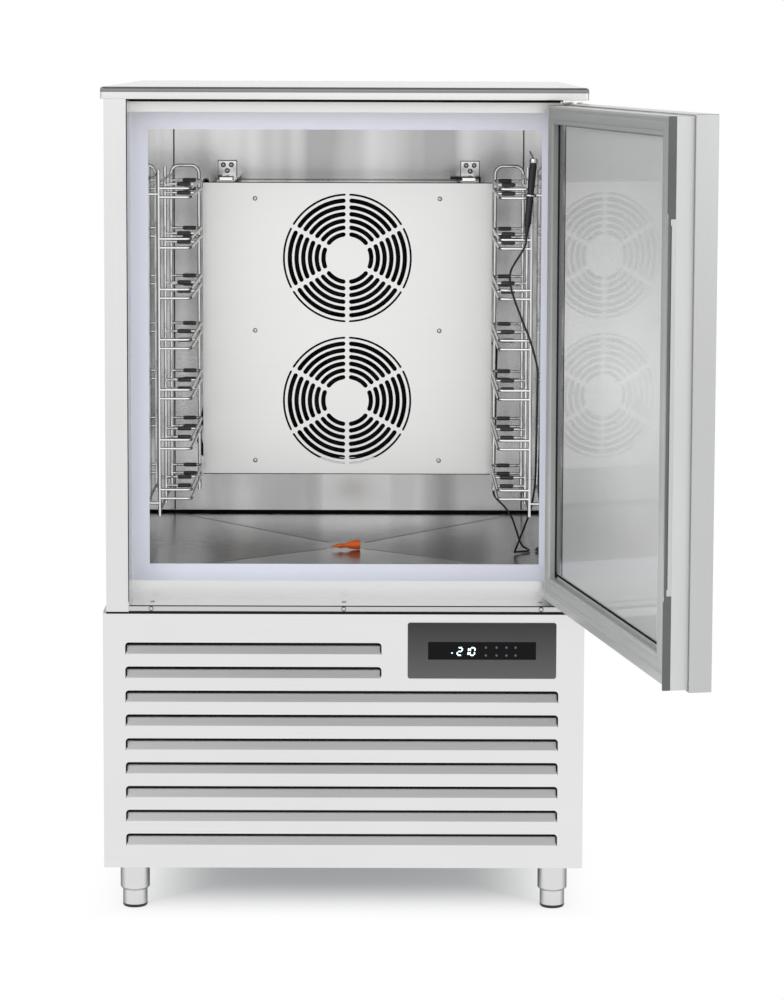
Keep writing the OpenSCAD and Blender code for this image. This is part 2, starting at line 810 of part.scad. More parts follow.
module fan_motors() {
    color("darkslategray") for (z = fan_zs)
        translate([0, 0, z]) motor(arms_y, motor_r, motor_len);
}

// blades are plates set at an angle, trimmed to a ring
module rotor(y, r, blades, wide, pitch, hub_r, hub_len, shaft_end) {
    union() {
        rod_y(0, y - hub_len / 2, y + hub_len / 2, 0, hub_r);
        rod_y(0, y, shaft_end, 0, shaft_r);
        intersection() {
            difference() {
                rod_y(0, y - 40, y + 40, 0, r);
                rod_y(0, y - 41, y + 41, 0, hub_r - 3);
            }
            for (k = [0 : blades - 1]) rotate([0, k * 360 / blades, 0])
                translate([0, y, 0]) rotate([0, 0, pitch])
                    block([-wide / 2, -1, 0], [wide / 2, 1, r + 10]);
        }
    }
}

module chamber_rotor() {
    rotor(blade_y, fan_r, 5, 74, 22, 34, 26, arms_y + shaft_in);
}

module upper_fan() {
    color("black") translate([0, 0, fan_zs[1]]) chamber_rotor();
}

module lower_fan() {
    color("black") translate([0, 0, fan_zs[0]]) chamber_rotor();
}

// a finned block between two end plates
module finned_coil(low, high, fins, foot_z) {
    step = (high[0] - low[0]) / fins;
    union() {
        block(low + [2, coil_skin, coil_skin], high - [2, coil_skin, coil_skin]);
        for (i = [1 : fins - 1])
            block([low[0] + i * step - 0.8, low[1] + 2, low[2] + 4],
                  [low[0] + i * step + 0.8, high[1] - 2, high[2] - 4]);
        for (x = [low[0], high[0] - 2])
            block([x, low[1], foot_z], [x + 2, high[1], high[2]]);
    }
}

module evaporator_coil() {
    color("silver") union() {
        finned_coil([-coil_x, coil_y0, coil_z0], [coil_x, coil_y1, coil_z1], 28, coil_z0);
        for (k = [-1, 1]) block([k * hook_x - 33, coil_y1 - coil_skin - 1, coil_z1 - 60],
                                [k * hook_x - 3, back_y, coil_z1 - 20]);
        for (k = [-1, 1]) block([k * panel_screw_x - 15, coil_y0, coil_z0 + 20],
                                [k * panel_screw_x + 15, coil_y0 + coil_skin + 1, coil_z1 - 20]);
    }
}

// tray racks and the probe

module tray_rack() {
    union() {
        for (i = [0 : levels - 1], d = [0, wire_drop]) {
            z = level_z + i * level_pitch - d;
            rod_y(rail_x, rack_y0 - rail_r, rack_y1 + rail_r, z, rail_r);
            for (y = [rack_y0, rack_mid_y, rack_y1])
                rod_x(rail_x, post_x, y, z, rail_r - 0.2);
        }
        rod_z(post_x, rack_y0, rack_bottom, rack_top, post_r);
        rod_z(post_x, rack_mid_y, rack_bottom, rack_top, post_r);
        for (x = [loop_x, post_x]) rod_z(x, rack_y1, rack_bottom, loop_top, post_r);
        rod_x(loop_x, post_x, rack_y1, loop_top, post_r - 0.1);
        rod_y(post_x, rack_y0, rack_y1, rack_top - 20, rail_r + 0.1);
        rod_y(post_x, rack_y0, rack_y1, rack_bottom + 8, rail_r + 0.1);
        for (y = [rack_y0, rack_y1], z = [rack_top - 40, rack_bottom + 22])
            rod_x(post_x, open_x, y, z, rail_r);
    }
}

module left_tray_rack() {
    color("silver") mirror([1, 0, 0]) tray_rack();
}

module right_tray_rack() {
    color("silver") tray_rack();
}

// dark sleeves on the inner ends of the right rack's middle and rear wires
module right_sleeves() {
    for (i = [0 : levels - 1], d = [0, wire_drop], y = [rack_mid_y, rack_y1])
        let (z = level_z + i * level_pitch - d)
            difference() {
                rod_x(rail_x + sleeve_from, rail_x + sleeve_to, y, z, rail_r + 0.8);
                rod_x(rail_x + sleeve_from - 1, rail_x + sleeve_to + 1, y, z, rail_r + 0.1);
            }
}

module rack_sleeves() {
    color("dimgray") {
        right_sleeves();
        mirror([1, 0, 0]) right_sleeves();
    }
}

module probe_place() {
    translate(probe_at) rotate([0, probe_lean, 0]) children();
}

module probe_handle() {
    color("black") probe_place() union() {
        cylinder(r = probe_r, h = probe_len);
        translate([0, 0, -relief_len]) cylinder(r1 = cable_d / 2 + 0.7, r2 = probe_r - 1.4,
                                                h = relief_len + eps);
    }
}

module probe_needle() {
    color("silver") probe_place() union() {
        translate([0, 0, probe_len]) cylinder(r = probe_r + 0.4, h = 7);
        translate([0, 0, probe_len + 6.5]) sphere(r = 3);
        translate([0, 0, probe_len + 6.5]) rotate([-84, 0, 2])
            cylinder(r = 1.6, h = needle_len);
        translate([0, 0, probe_len + 6.5]) rotate([-84, 0, 2])
            translate([0, 0, needle_len]) cylinder(r1 = 1.6, r2 = 0.3, h = 8);
    }
}

// a ring round the handle, on a stem from the rack's front upright
module probe_clip() {
    ring_r = probe_r + 2.3;
    color("silver") union() {
        probe_place() translate([0, 0, clip_z]) rotate_extrude()
            translate([ring_r, 0]) circle(r = 2);
        rod_y(post_x - 3, rack_y0 - 20 + ring_r, rack_y0 - post_r + 0.6, probe_at[2] + clip_z, 1.8);
    }
}

module probe_cable() {
    color("black") swept_tube(concat([cable_exit], cable_points), cable_d / 2, 8, 2, [0, 1, 0]);
}

// the probe cable's gland on the coil, and the mains gland in the rear grille
module cable_glands() {
    color("dimgray") {
        difference() {
            union() {
                rod_x(coil_x, gland_at[0], gland_at[1], gland_at[2], 7);
                rod_x(coil_x, coil_x + 5, gland_at[1], gland_at[2], 10);
            }
            rod_x(coil_x + 4, gland_at[0] + 1, gland_at[1], gland_at[2], cable_d / 2 + 0.5);
        }
        difference() {
            union() {
                rod_y(mains_x, rear_y - 12, rear_y + 16, mains_z, mains_r + 4 - 0.3);
                rod_y(mains_x, rear_y, rear_y + 6, mains_z, mains_r + 9);
                rod_y(mains_x, rear_y - 8, rear_y - sheet_t, mains_z, mains_r + 8);
            }
            rod_y(mains_x, rear_y - 13, rear_y + 17, mains_z, mains_r);
        }
    }
}

// the air sensor lies on the right bracket's arm, and its lead drops to the coil
module air_probe() {
    z = fan_panel_z1 + 5 + 2.5;
    y = fan_face_y + 60;
    lead_x = coil_x - 5;
    lead_y = y + 20;
    color("dimgray") union() {
        rod_x(lead_x - 54, lead_x - 12, y, z, 2.5);
        pipe([lead_x - 12, y, z], [lead_x, lead_y, z - 1], 1.7);
        translate([lead_x, lead_y, z - 1]) sphere(r = 1.75);
        rod_z(lead_x, lead_y, coil_z1 - 4, z - 1, 1.7);
    }
}

module wiring_conduit() {
    color("black") swept_tube(conduit_points, 5, 10, 2, [1, 0, 0]);
}

module drain_fitting() {
    color("gray") translate([0, drain_y, 0]) difference() {
        union() {
            rod_z(0, 0, flange_z, flange_z + flange_t, drain_r + 10);
            rod_z(0, 0, spigot_z + spigot_len, flange_z + flange_t, drain_pipe_r);
            rod_z(0, 0, spigot_z, spigot_z + spigot_len, spigot_r);
        }
        rod_z(0, 0, spigot_z - 1, flange_z + flange_t + 1, drain_pipe_r - drain_wall);
    }
}

// a rubber plug lying beside the drain, its stem to the left
module drain_plug() {
    plug_r = 9;
    lift = plug_r + 0.7;
    color("orangered") translate([24, drain_y - 46, floor_z - floor_fall + lift]) rotate([0, -92, 12])
        union() {
            cylinder(r1 = plug_r, r2 = plug_r - 3, h = 18);
            translate([0, 0, 17.9]) cylinder(r1 = plug_r - 3, r2 = 3, h = 8);
            translate([0, 0, 25.8]) cylinder(r = 3, h = 6);
            translate([0, 0, 34]) sphere(r = 4.6);
            translate([0, 0, 37]) cylinder(r1 = 2.6, r2 = 1, h = 14);
        }
}

// condensing unit

module compressor() {
    color("black") translate(compressor_at + [0, 0, compressor_lift]) union() {
        rotate_extrude() polygon([
            [0, 0], [compressor_r - 20, 0], [compressor_r - 6, 8], [compressor_r, 24],
            [compressor_r, compressor_h - 60], [compressor_r - 8, compressor_h - 30],
            [compressor_r - 32, compressor_h - 8], [0, compressor_h]]);
        for (a = [45 : 90 : 315]) rotate(a) difference() {
            block([0, -16, 0], [compressor_r + 24, 16, 4]);
            translate([mount_r, 0, -1]) cylinder(r = 5.5, h = 6);
        }
        translate([compressor_r - 12, -22, 70]) cube([26, 44, 46]);
    }
}

module compressor_mounts() {
    color("dimgray") translate(compressor_at) for (a = [45 : 90 : 315]) rotate(a)
        translate([mount_r, 0, 0]) union() {
            cylinder(r = 12, h = compressor_lift);
            cylinder(r = 5.2, h = compressor_lift + 8);
            translate([0, 0, compressor_lift + 4]) cylinder(r = 9, h = 6);
        }
}

module condenser_coil() {
    color("darkgray") finned_coil([cond_x0, cond_y0, tray_top + 12],
                                  [cond_x1, cond_y1, cond_z1], 24, tray_top);
}

module condenser_shroud() {
    color("slategray") translate([cond_fan_x, 0, cond_fan_z]) union() {
        fan_mount(cond_fan_r, cond_y1, cond_arms_y, cond_motor_r);
        difference() {
            block([cond_x0 - cond_fan_x + 2, cond_y1, -cond_fan_z + tray_top + 20],
                  [cond_x1 - cond_fan_x - 2, cond_y1 + 2, cond_z1 - cond_fan_z]);
            rod_y(0, cond_y1 - 1, cond_y1 + 3, 0, cond_fan_r + ring_clear + 1);
        }
    }
}

module condenser_fan_motor() {
    color("darkslategray") translate([cond_fan_x, 0, cond_fan_z])
        motor(cond_arms_y, cond_motor_r, 70);
}

module condenser_fan() {
    color("black") translate([cond_fan_x, 0, cond_fan_z])
        rotor(cond_blade_y, cond_fan_r, 5, 96, 24, 40, 28, cond_arms_y + shaft_in);
}

module liquid_receiver() {
    color("black") translate(receiver_at) rotate_extrude() polygon([
        [0, 0], [receiver_r - 14, 0], [receiver_r - 14, 12], [receiver_r - 6, 14],
        [receiver_r, 26], [receiver_r, receiver_h - 26], [receiver_r - 14, receiver_h - 6],
        [0, receiver_h]]);
}

// discharge to the condenser, condenser to receiver, and the liquid and suction lines
module refrigerant_pipes() {
    small_r = 5;
    suction_r = 8;
    cx = compressor_at[0];
    cy = compressor_at[1];
    rx = receiver_at[0];
    ry = receiver_at[1];
    shell_top = compressor_at[2] + compressor_lift + compressor_h;
    hot_x = 40;
    hot_z = cond_z1 - 40;
    cond_y = (cond_y0 + cond_y1) / 2;
    liquid_x = 32;
    liquid_z = 150;
    suction_y = 300;
    coil_low = coil_z0 + coil_skin + 2;
    color("peru") {
        pipe_run([[cx - 30, cy, shell_top - 8], [cx - 30, cy, hot_z], [hot_x, cy, hot_z],
                  [hot_x, cond_y, hot_z], [cond_x1, cond_y, hot_z]], small_r);
        pipe_run([[cond_x1, cond_y, liquid_z], [liquid_x, cond_y, liquid_z],
                  [liquid_x, ry, liquid_z], [rx + receiver_r - 4, ry, liquid_z]], small_r);
        pipe_run([[rx, ry, receiver_at[2] + receiver_h - 3], [rx, ry, 380],
                  [pipe_xs[1], ry, 380], [pipe_xs[1], duct_y, 380], [pipe_xs[1], duct_y, pipe_z],
                  [pipe_xs[1], coil_mid_y, pipe_z], [pipe_xs[1], coil_mid_y, coil_low]], small_r);
        rod_z(pipe_xs[1], duct_y, 420, 490, small_r + 8);
        pipe_run([[cx, cy + compressor_r - 4, shell_top - 60], [cx, suction_y, shell_top - 60],
                  [cx, suction_y, 450], [pipe_xs[0], suction_y, 450],
                  [pipe_xs[0], duct_y, 450], [pipe_xs[0], duct_y, pipe_z],
                  [pipe_xs[0], coil_mid_y, pipe_z], [pipe_xs[0], coil_mid_y, coil_low]], suction_r);
    }
}

// door, drawn closed and then swung open

module bush_holes() {
    for (z = [door_z0 - 1, door_z1 - bush_len])
        translate([pivot[0], pivot[1], z]) cylinder(r = bush_r + 0.1, h = bush_len + 1);
}

module door_skin() {
    s = door_sheet;
    color("silver") door_place() difference() {
        block([door_x0, front_y, door_z0], [door_x1, leaf_y, door_z1]);
        block([door_x0 + s, front_y + s, door_z0 + s], [door_x1 - s, leaf_y + 1, door_z1 - s]);
        bush_holes();
    }
}

module door_liner() {
    s = door_sheet;
    color("lightgray") door_place() difference() {
        block([door_x0 + leaf_over, leaf_y, door_z0 + leaf_lip],
              [door_x1, liner_face_y, door_z1 - leaf_lip]);
        block([door_x0 + leaf_over + s, leaf_y - 1, door_z0 + leaf_lip + s],
              [door_x1 - s, liner_face_y - s, door_z1 - leaf_lip - s]);
    }
}

module door_insulation() {
    s = door_sheet;
    color("khaki") door_place() difference() {
        union() {
            block([door_x0 + s, front_y + s, door_z0 + s], [door_x1 - s, leaf_y, door_z1 - s]);
            block([door_x0 + leaf_over + s, leaf_y - 1, door_z0 + leaf_lip + s],
                  [door_x1 - s, liner_face_y - s, door_z1 - leaf_lip - s]);
        }
        bush_holes();
    }
}

module door_gasket() {
    color("dimgray") door_place() difference() {
        block([gasket_x0, liner_face_y, gasket_z0], [gasket_x1, gasket_y, gasket_z1]);
        block([gasket_x0 + gasket_w, liner_face_y - 1, gasket_z0 + gasket_w],
              [gasket_x1 - gasket_w, gasket_y + 1, gasket_z1 - gasket_w]);
    }
}

// a dark strip along the free edge, its middle cut down to a grip with bright end caps
module door_edge_strip() {
    x0 = door_x0 + leaf_over;
    x1 = gasket_x0 - strip_gap;
    y1 = gasket_y - strip_back;
    color("dimgray") door_place() difference() {
        block([x0, liner_face_y, door_z0 + leaf_lip], [x1, y1, door_z1 - leaf_lip]);
        block([x0 + 2, liner_face_y + 2, grip_z - grip_len / 2], [x1 + 1, y1 + 1, grip_z + grip_len / 2]);
    }
}

module door_hinge_bushes() {
    color("gray") door_place() for (z = [door_z0, door_z1 - bush_len])
        translate([pivot[0], pivot[1], z]) difference() {
            cylinder(r = bush_r, h = bush_len);
            translate([0, 0, -1]) cylinder(r = hinge_pin_r + run_fit, h = bush_len + 2);
        }
}

module hinge_brackets() {
    x0 = hinge_x - 20;
    x1 = inner_x;
    color("gray") {
        union() {
            block([x0, front_y + 6, under_z - bracket_t], [x1, frame_y, under_z]);
            block([x0, frame_y - bracket_t, under_z - 20], [x1, frame_y, under_z]);
            translate([pivot[0], pivot[1], under_z - bracket_t - pin_len])
                cylinder(r = hinge_pin_r, h = pin_len + 1);
        }
        union() {
            block([x0, front_y + 6, ledge_z], [x1, frame_y, ledge_z + bracket_t]);
            block([x0, frame_y - bracket_t, ledge_z], [x1, frame_y, ledge_z + 20]);
            translate([pivot[0], pivot[1], ledge_z + bracket_t - 1])
                cylinder(r = hinge_pin_r, h = pin_len + 1);
        }
    }
}

// feet

module foot_sleeves() {
    color("silver") for (x = [-foot_x, foot_x], y = foot_ys) translate([x, y, 0]) {
        difference() {
            union() {
                block([-foot_plate, -foot_plate, tray_z - 3], [foot_plate, foot_plate, tray_z]);
                translate([0, 0, sleeve_z + 3]) cylinder(r = sleeve_r, h = tray_z - sleeve_z - 4);
                translate([0, 0, sleeve_z]) cylinder(r1 = sleeve_r - 3, r2 = sleeve_r, h = 3 + eps);
            }
            translate([0, 0, sleeve_z - 1])
                cylinder(r = foot_r + run_fit, h = tray_z - sleeve_z - 2);
        }
        for (a = [-1, 1], b = [-1, 1])
            translate([a * 35, b * 35, tray_z - 7]) cylinder(r = 5.5, h = 4);
    }
}

module foot() {
    union() {
        translate([0, 0, pad_t]) cylinder(r = foot_r, h = tray_z - 6 - pad_t);
        cylinder(r1 = foot_r - 1.5, r2 = foot_r, h = pad_t);
    }
}

module front_left_foot() {
    color("dimgray") translate([-foot_x, foot_ys[0], 0]) foot();
}

module front_right_foot() {
    color("dimgray") translate([foot_x, foot_ys[0], 0]) foot();
}

module rear_left_foot() {
    color("dimgray") translate([-foot_x, foot_ys[1], 0]) foot();
}

module rear_right_foot() {
    color("dimgray") translate([foot_x, foot_ys[1], 0]) foot();
}

worktop();
worktop_core();
left_side_panel();
right_side_panel();
rear_panel();
cabinet_insulation();
chamber_liner();
sump_floor();
front_frame();
breaker_frame();
sill_trim();
panel_screws();
louvre_panel();
control_fascia();
display_window();
control_box();
base_tray();
lower_left_panel();
lower_right_panel();
rear_grille();
compartment_deck();
fan_panel();
fan_panel_brackets();
fan_rings();
fan_motors();
upper_fan();
lower_fan();
evaporator_coil();
left_tray_rack();
right_tray_rack();
rack_sleeves();
probe_handle();
probe_needle();
probe_clip();
probe_cable();
cable_glands();
air_probe();
wiring_conduit();
drain_fitting();
drain_plug();
compressor();
compressor_mounts();
condenser_coil();
condenser_shroud();
condenser_fan();
condenser_fan_motor();
liquid_receiver();
refrigerant_pipes();
door_skin();
door_liner();
door_insulation();
door_gasket();
door_edge_strip();
door_hinge_bushes();
hinge_brackets();
foot_sleeves();
front_left_foot();
front_right_foot();
rear_left_foot();
rear_right_foot();
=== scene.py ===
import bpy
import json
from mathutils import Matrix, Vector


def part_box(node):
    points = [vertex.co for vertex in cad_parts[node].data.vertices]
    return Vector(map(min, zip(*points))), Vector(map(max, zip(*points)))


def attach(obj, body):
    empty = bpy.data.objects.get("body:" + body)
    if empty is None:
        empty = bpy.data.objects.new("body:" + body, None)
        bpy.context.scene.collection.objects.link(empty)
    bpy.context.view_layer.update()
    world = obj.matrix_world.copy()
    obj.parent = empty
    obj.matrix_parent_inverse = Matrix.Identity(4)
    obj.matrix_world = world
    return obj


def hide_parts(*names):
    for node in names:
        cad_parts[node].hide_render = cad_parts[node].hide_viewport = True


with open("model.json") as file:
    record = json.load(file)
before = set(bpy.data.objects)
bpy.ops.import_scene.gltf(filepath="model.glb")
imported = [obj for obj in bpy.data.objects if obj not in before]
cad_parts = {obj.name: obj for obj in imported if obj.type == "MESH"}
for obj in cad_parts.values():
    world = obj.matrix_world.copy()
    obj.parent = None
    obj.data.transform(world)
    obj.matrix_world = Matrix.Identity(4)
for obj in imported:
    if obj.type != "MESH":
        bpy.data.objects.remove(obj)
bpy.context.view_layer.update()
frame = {"nodes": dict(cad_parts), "record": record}

import json
import math
import bmesh
import bpy
import numpy as np
from mathutils import Matrix, Vector

print("blast chiller: frame loaded")
mm = 0.001


# cad sizes that the dressed pieces share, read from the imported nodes
def corners(node):
    low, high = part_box(node)
    return np.array(low), np.array(high)


worktopLow, worktopHigh = corners("worktop")
breakerLow, breakerHigh = corners("breaker_frame")
panelLow, panelHigh = corners("louvre_panel")
fanPanelLow, fanPanelHigh = corners("fan_panel")
trimLow, trimHigh = corners("sill_trim")
windowLow = corners("display_window")[0]
stileX = corners("front_frame")[0][0]
chamber = {"wallX": 0.327, "backY": 0.295, "frontY": -0.347, "floorZ": 0.574}
drain = {"y": -0.038, "half": 0.034, "z": 0.566}


def addObject(name, data):
    made = bpy.data.objects.new(name, data)
    bpy.context.scene.collection.objects.link(made)
    return made


# camera: where it stands, how it is turned, and how far the lens is shifted
def makeCamera():
    settings = {"place": (0.056, -5.4514, 1.4574), "yaw": 0.2586, "pitch": 5.7027,
                "roll": 0.1923, "lens": 110.4797, "shift": -0.15}
    yaw, pitch, roll = (math.radians(settings[k]) for k in ("yaw", "pitch", "roll"))
    ahead = Vector((math.sin(yaw) * math.cos(pitch), math.cos(yaw) * math.cos(pitch),
                    -math.sin(pitch)))
    right = Vector((math.cos(yaw), -math.sin(yaw), 0))
    up = right.cross(ahead)
    turnedRight = right * math.cos(roll) + up * math.sin(roll)
    turnedUp = up * math.cos(roll) - right * math.sin(roll)
    data = bpy.data.cameras.new("camera")
    data.lens = settings["lens"]
    data.sensor_width = 36
    data.shift_y = settings["shift"]
    data.clip_end = 60
    camera = addObject("camera", data)
    turn = Matrix((turnedRight, turnedUp, -ahead)).transposed().to_4x4()
    camera.matrix_world = Matrix.Translation(settings["place"]) @ turn
    bpy.context.scene.camera = camera


makeCamera()
bpy.context.scene.view_settings.view_transform = "Standard"


# materials are built from these few helpers: an input of a node takes a plain value, or is
# linked to another node's socket
def setInputs(tree, node, inputs):
    for key, value in inputs.items():
        if isinstance(value, bpy.types.NodeSocket):
            tree.links.new(value, node.inputs[key])
        else:
            node.inputs[key].default_value = value


def addNode(tree, kind, inputs=None, **settings):
    node = tree.nodes.new(kind)
    for key, value in settings.items():
        setattr(node, key, value)
    setInputs(tree, node, inputs or {})
    return node


def startMaterial(name, inputs=None):
    material = bpy.data.materials.new(name)
    material.use_nodes = True
    tree = material.node_tree
    shader = tree.nodes["Principled BSDF"]
    setInputs(tree, shader, inputs or {})
    return material, tree, shader


def objectPlace(tree):
    return addNode(tree, "ShaderNodeTexCoord").outputs["Object"]


def axisPart(tree, vector, axis):
    return addNode(tree, "ShaderNodeSeparateXYZ", {0: vector}).outputs[axis]


def objectNoise(tree, scale, detail=3.0, rough=0.5):
    mapping = addNode(tree, "ShaderNodeMapping", {"Vector": objectPlace(tree), "Scale": scale})
    noise = addNode(tree, "ShaderNodeTexNoise", {"Vector": mapping.outputs[0], "Scale": 1.0,
                                                 "Detail": detail, "Roughness": rough})
    return noise.outputs["Fac"]


def calculate(tree, operation, first, second=0.0):
    return addNode(tree, "ShaderNodeMath", {0: first, 1: second}, operation=operation).outputs[0]


def mapRange(tree, value, low, high, fromLow=0.3, fromHigh=0.7, **settings):
    node = addNode(tree, "ShaderNodeMapRange", {
        "Value": value, "From Min": fromLow, "From Max": fromHigh, "To Min": low,
        "To Max": high}, **settings)
    return node.outputs["Result"]


def mixColour(tree, factor, first, second):
    node = addNode(tree, "ShaderNodeMix", {0: factor, 6: (*first, 1), 7: (*second, 1)},
                   data_type="RGBA")
    return node.outputs[2]


def scaled(colour, factor):
    return tuple(min(1.0, c * factor) for c in colour)


# one pattern drives tone and gloss, so that they change together
def dress(tree, shader, pattern, tones, roughness, span=(0.3, 0.7)):
    tone = mixColour(tree, mapRange(tree, pattern, 0, 1, *span), *tones)
    gloss = mapRange(tree, pattern, *roughness, *span)
    setInputs(tree, shader, {"Base Color": tone, "Roughness": gloss})


def addBump(tree, shader, height, distance, strength=0.5):
    bump = addNode(tree, "ShaderNodeBump", {"Height": height, "Distance": distance,
                                            "Strength": strength})
    tree.links.new(bump.outputs[0], shader.inputs["Normal"])


# brushed sheet: grain is noise stretched along the brushing, over a faint smudge
def brushedSteel(name, colour, rough, grain, spread=0.05):
    material, tree, shader = startMaterial(name, {"Metallic": 1.0})
    along, across = 3.0, 900.0
    lines = objectNoise(tree, [along if axis in grain else across for axis in "XYZ"], 4.0, 0.6)
    smudge = objectNoise(tree, (3.2, 3.2, 2.6), 3.0, 0.55)
    half = calculate(tree, "MULTIPLY", calculate(tree, "ADD", lines, smudge), 0.5)
    dress(tree, shader, half, (scaled(colour, 0.97), scaled(colour, 1.025)),
          (rough - spread, rough + spread))
    addBump(tree, shader, lines, 0.000008, 0.6)
    return material


# chamber sheet: almost a mirror on the side walls, softer on the back wall, with painted
# reflections as wide dark and light clouds in its tone
def chamberSheet(name, dark, light):
    material, tree, shader = startMaterial(name, {"Metallic": 1.0})
    reflectionClouds = objectNoise(tree, (8.0, 3.0, 0.8), 2.0)
    depth = axisPart(tree, objectPlace(tree), "Y")
    nearBack = chamber["backY"] - 0.009, chamber["backY"] - 0.003
    setInputs(tree, shader, {
        "Base Color": mixColour(tree, mapRange(tree, reflectionClouds, 0, 1, 0.38, 0.62), dark, light),
        "Roughness": mapRange(tree, depth, 0.045, 0.2, *nearBack)})
    return material


# satin sheet under a thin gloss: soft tone, with a faint sharp reflection on top
def satinSheet(name, colour, rough, coat, coatRough):
    material, tree, shader = startMaterial(
        name, {"Metallic": 0.35, "Coat Weight": coat, "Coat Roughness": coatRough})
    smudge = objectNoise(tree, (2.6, 2.6, 2.2), 3.0, 0.55)
    dress(tree, shader, smudge, (scaled(colour, 0.95), scaled(colour, 1.04)),
          (rough - 0.05, rough + 0.05))
    addBump(tree, shader, objectNoise(tree, (700, 700, 4), 3.0, 0.6), 0.000001, 0.2)
    return material


# bright wire and screws: faint drawing marks, and, when a rim colour is given, painted reflection:
# a darker rim where the wire turns away from view
def brightSteel(name, colour, rough, rim=None):
    material, tree, shader = startMaterial(name, {"Metallic": 1.0})
    marks = objectNoise(tree, (160, 160, 160))
    tone = mixColour(tree, marks, scaled(colour, 0.93), colour)
    if rim:
        # painted reflection: edges that turn away from view go dark
        facing = addNode(tree, "ShaderNodeLayerWeight", {"Blend": 0.5}).outputs["Facing"]
        edge = mixColour(tree, mapRange(tree, facing, 0, 1, 0.25, 0.7), colour, rim)
        tree.links.new(tone, edge.node.inputs[6])
        tone = edge
    gloss = mapRange(tree, marks, rough - 0.05, rough + 0.06)
    setInputs(tree, shader, {"Base Color": tone, "Roughness": gloss})
    addBump(tree, shader, marks, 0.00003)
    return material


# moulded plastic or rubber: fine grain in colour, gloss and height
def moulded(name, colour, rough, grain=900, change=0.12, height=0.00004, specular=0.5):
    material, tree, shader = startMaterial(name, {"Specular IOR Level": specular})
    cloud = objectNoise(tree, (9, 9, 9))
    dress(tree, shader, cloud, (scaled(colour, 1 - change), scaled(colour, 1 + change)),
          (rough - 0.05, rough + 0.07))
    addBump(tree, shader, objectNoise(tree, (grain, grain, grain)), height)
    return material


# galvanised sheet: spangle cells a few millimetres across
def galvanised(name):
    material, tree, shader = startMaterial(name, {"Metallic": 0.85})
    cells = addNode(tree, "ShaderNodeTexVoronoi", {"Vector": objectPlace(tree), "Scale": 130.0})
    spangle = addNode(tree, "ShaderNodeSeparateColor", {0: cells.outputs["Color"]}).outputs[0]
    dress(tree, shader, spangle, ((0.42, 0.44, 0.45), (0.6, 0.62, 0.63)), (0.34, 0.55), (0, 1))
    return material


# painted metal: thin orange peel under a satin coat
def painted(name, colour, rough):
    material, tree, shader = startMaterial(name)
    dust = objectNoise(tree, (14, 14, 14), 4.0)
    dress(tree, shader, dust, (colour, tuple(min(1, c * 1.5 + 0.012) for c in colour)),
          (rough - 0.06, rough + 0.1))
    addBump(tree, shader, objectNoise(tree, (320, 320, 320), 2.0), 0.00006)
    return material


# coil fins: thin bright sheets every two millimetres, drawn as bands across X
def finned(name, dark, light):
    material, tree, shader = startMaterial(name, {"Metallic": 0.9})
    bands = addNode(tree, "ShaderNodeTexWave", {"Vector": objectPlace(tree), "Scale": 80.0,
                                                "Distortion": 0.4}, bands_direction="X")
    dress(tree, shader, bands.outputs["Fac"], (dark, light), (0.5, 0.3), (0, 1))
    addBump(tree, shader, bands.outputs["Fac"], 0.0006, 0.6)
    return material


# a lit display segment
def glowing(name, colour, power):
    material, tree, shader = startMaterial(name, {
        "Base Color": (*colour, 1), "Emission Strength": power, "Roughness": 0.4})
    flicker = objectNoise(tree, (500, 500, 500), 1.0)
    setInputs(tree, shader, {
        "Emission Color": mixColour(tree, flicker, scaled(colour, 0.9), colour)})
    return material


# the colour a material already has, blended with a darker one where the factor is low
def blendDark(material, factor, dark):
    tree = material.node_tree
    base = tree.nodes["Principled BSDF"].inputs["Base Color"]
    before = base.links[0].from_socket
    blend = mixColour(tree, factor, dark, (1, 1, 1))
    tree.links.new(before, blend.node.inputs[7])
    tree.links.new(blend, base)


def shadeByHeight(material, stops, dark):
    tree, (low, middle, high) = material.node_tree, stops
    z = axisPart(tree, objectPlace(tree), "Z")
    least = calculate(tree, "MINIMUM", mapRange(tree, z, 0, 1, low, middle),
                      mapRange(tree, z, 1, 0, middle, high))
    blendDark(material, least, dark)


def shadeByLean(material, stops, dark):
    tree = material.node_tree
    z = axisPart(tree, addNode(tree, "ShaderNodeTexCoord").outputs["Normal"], "Z")
    blendDark(material, mapRange(tree, z, 1, 0, *stops), dark)


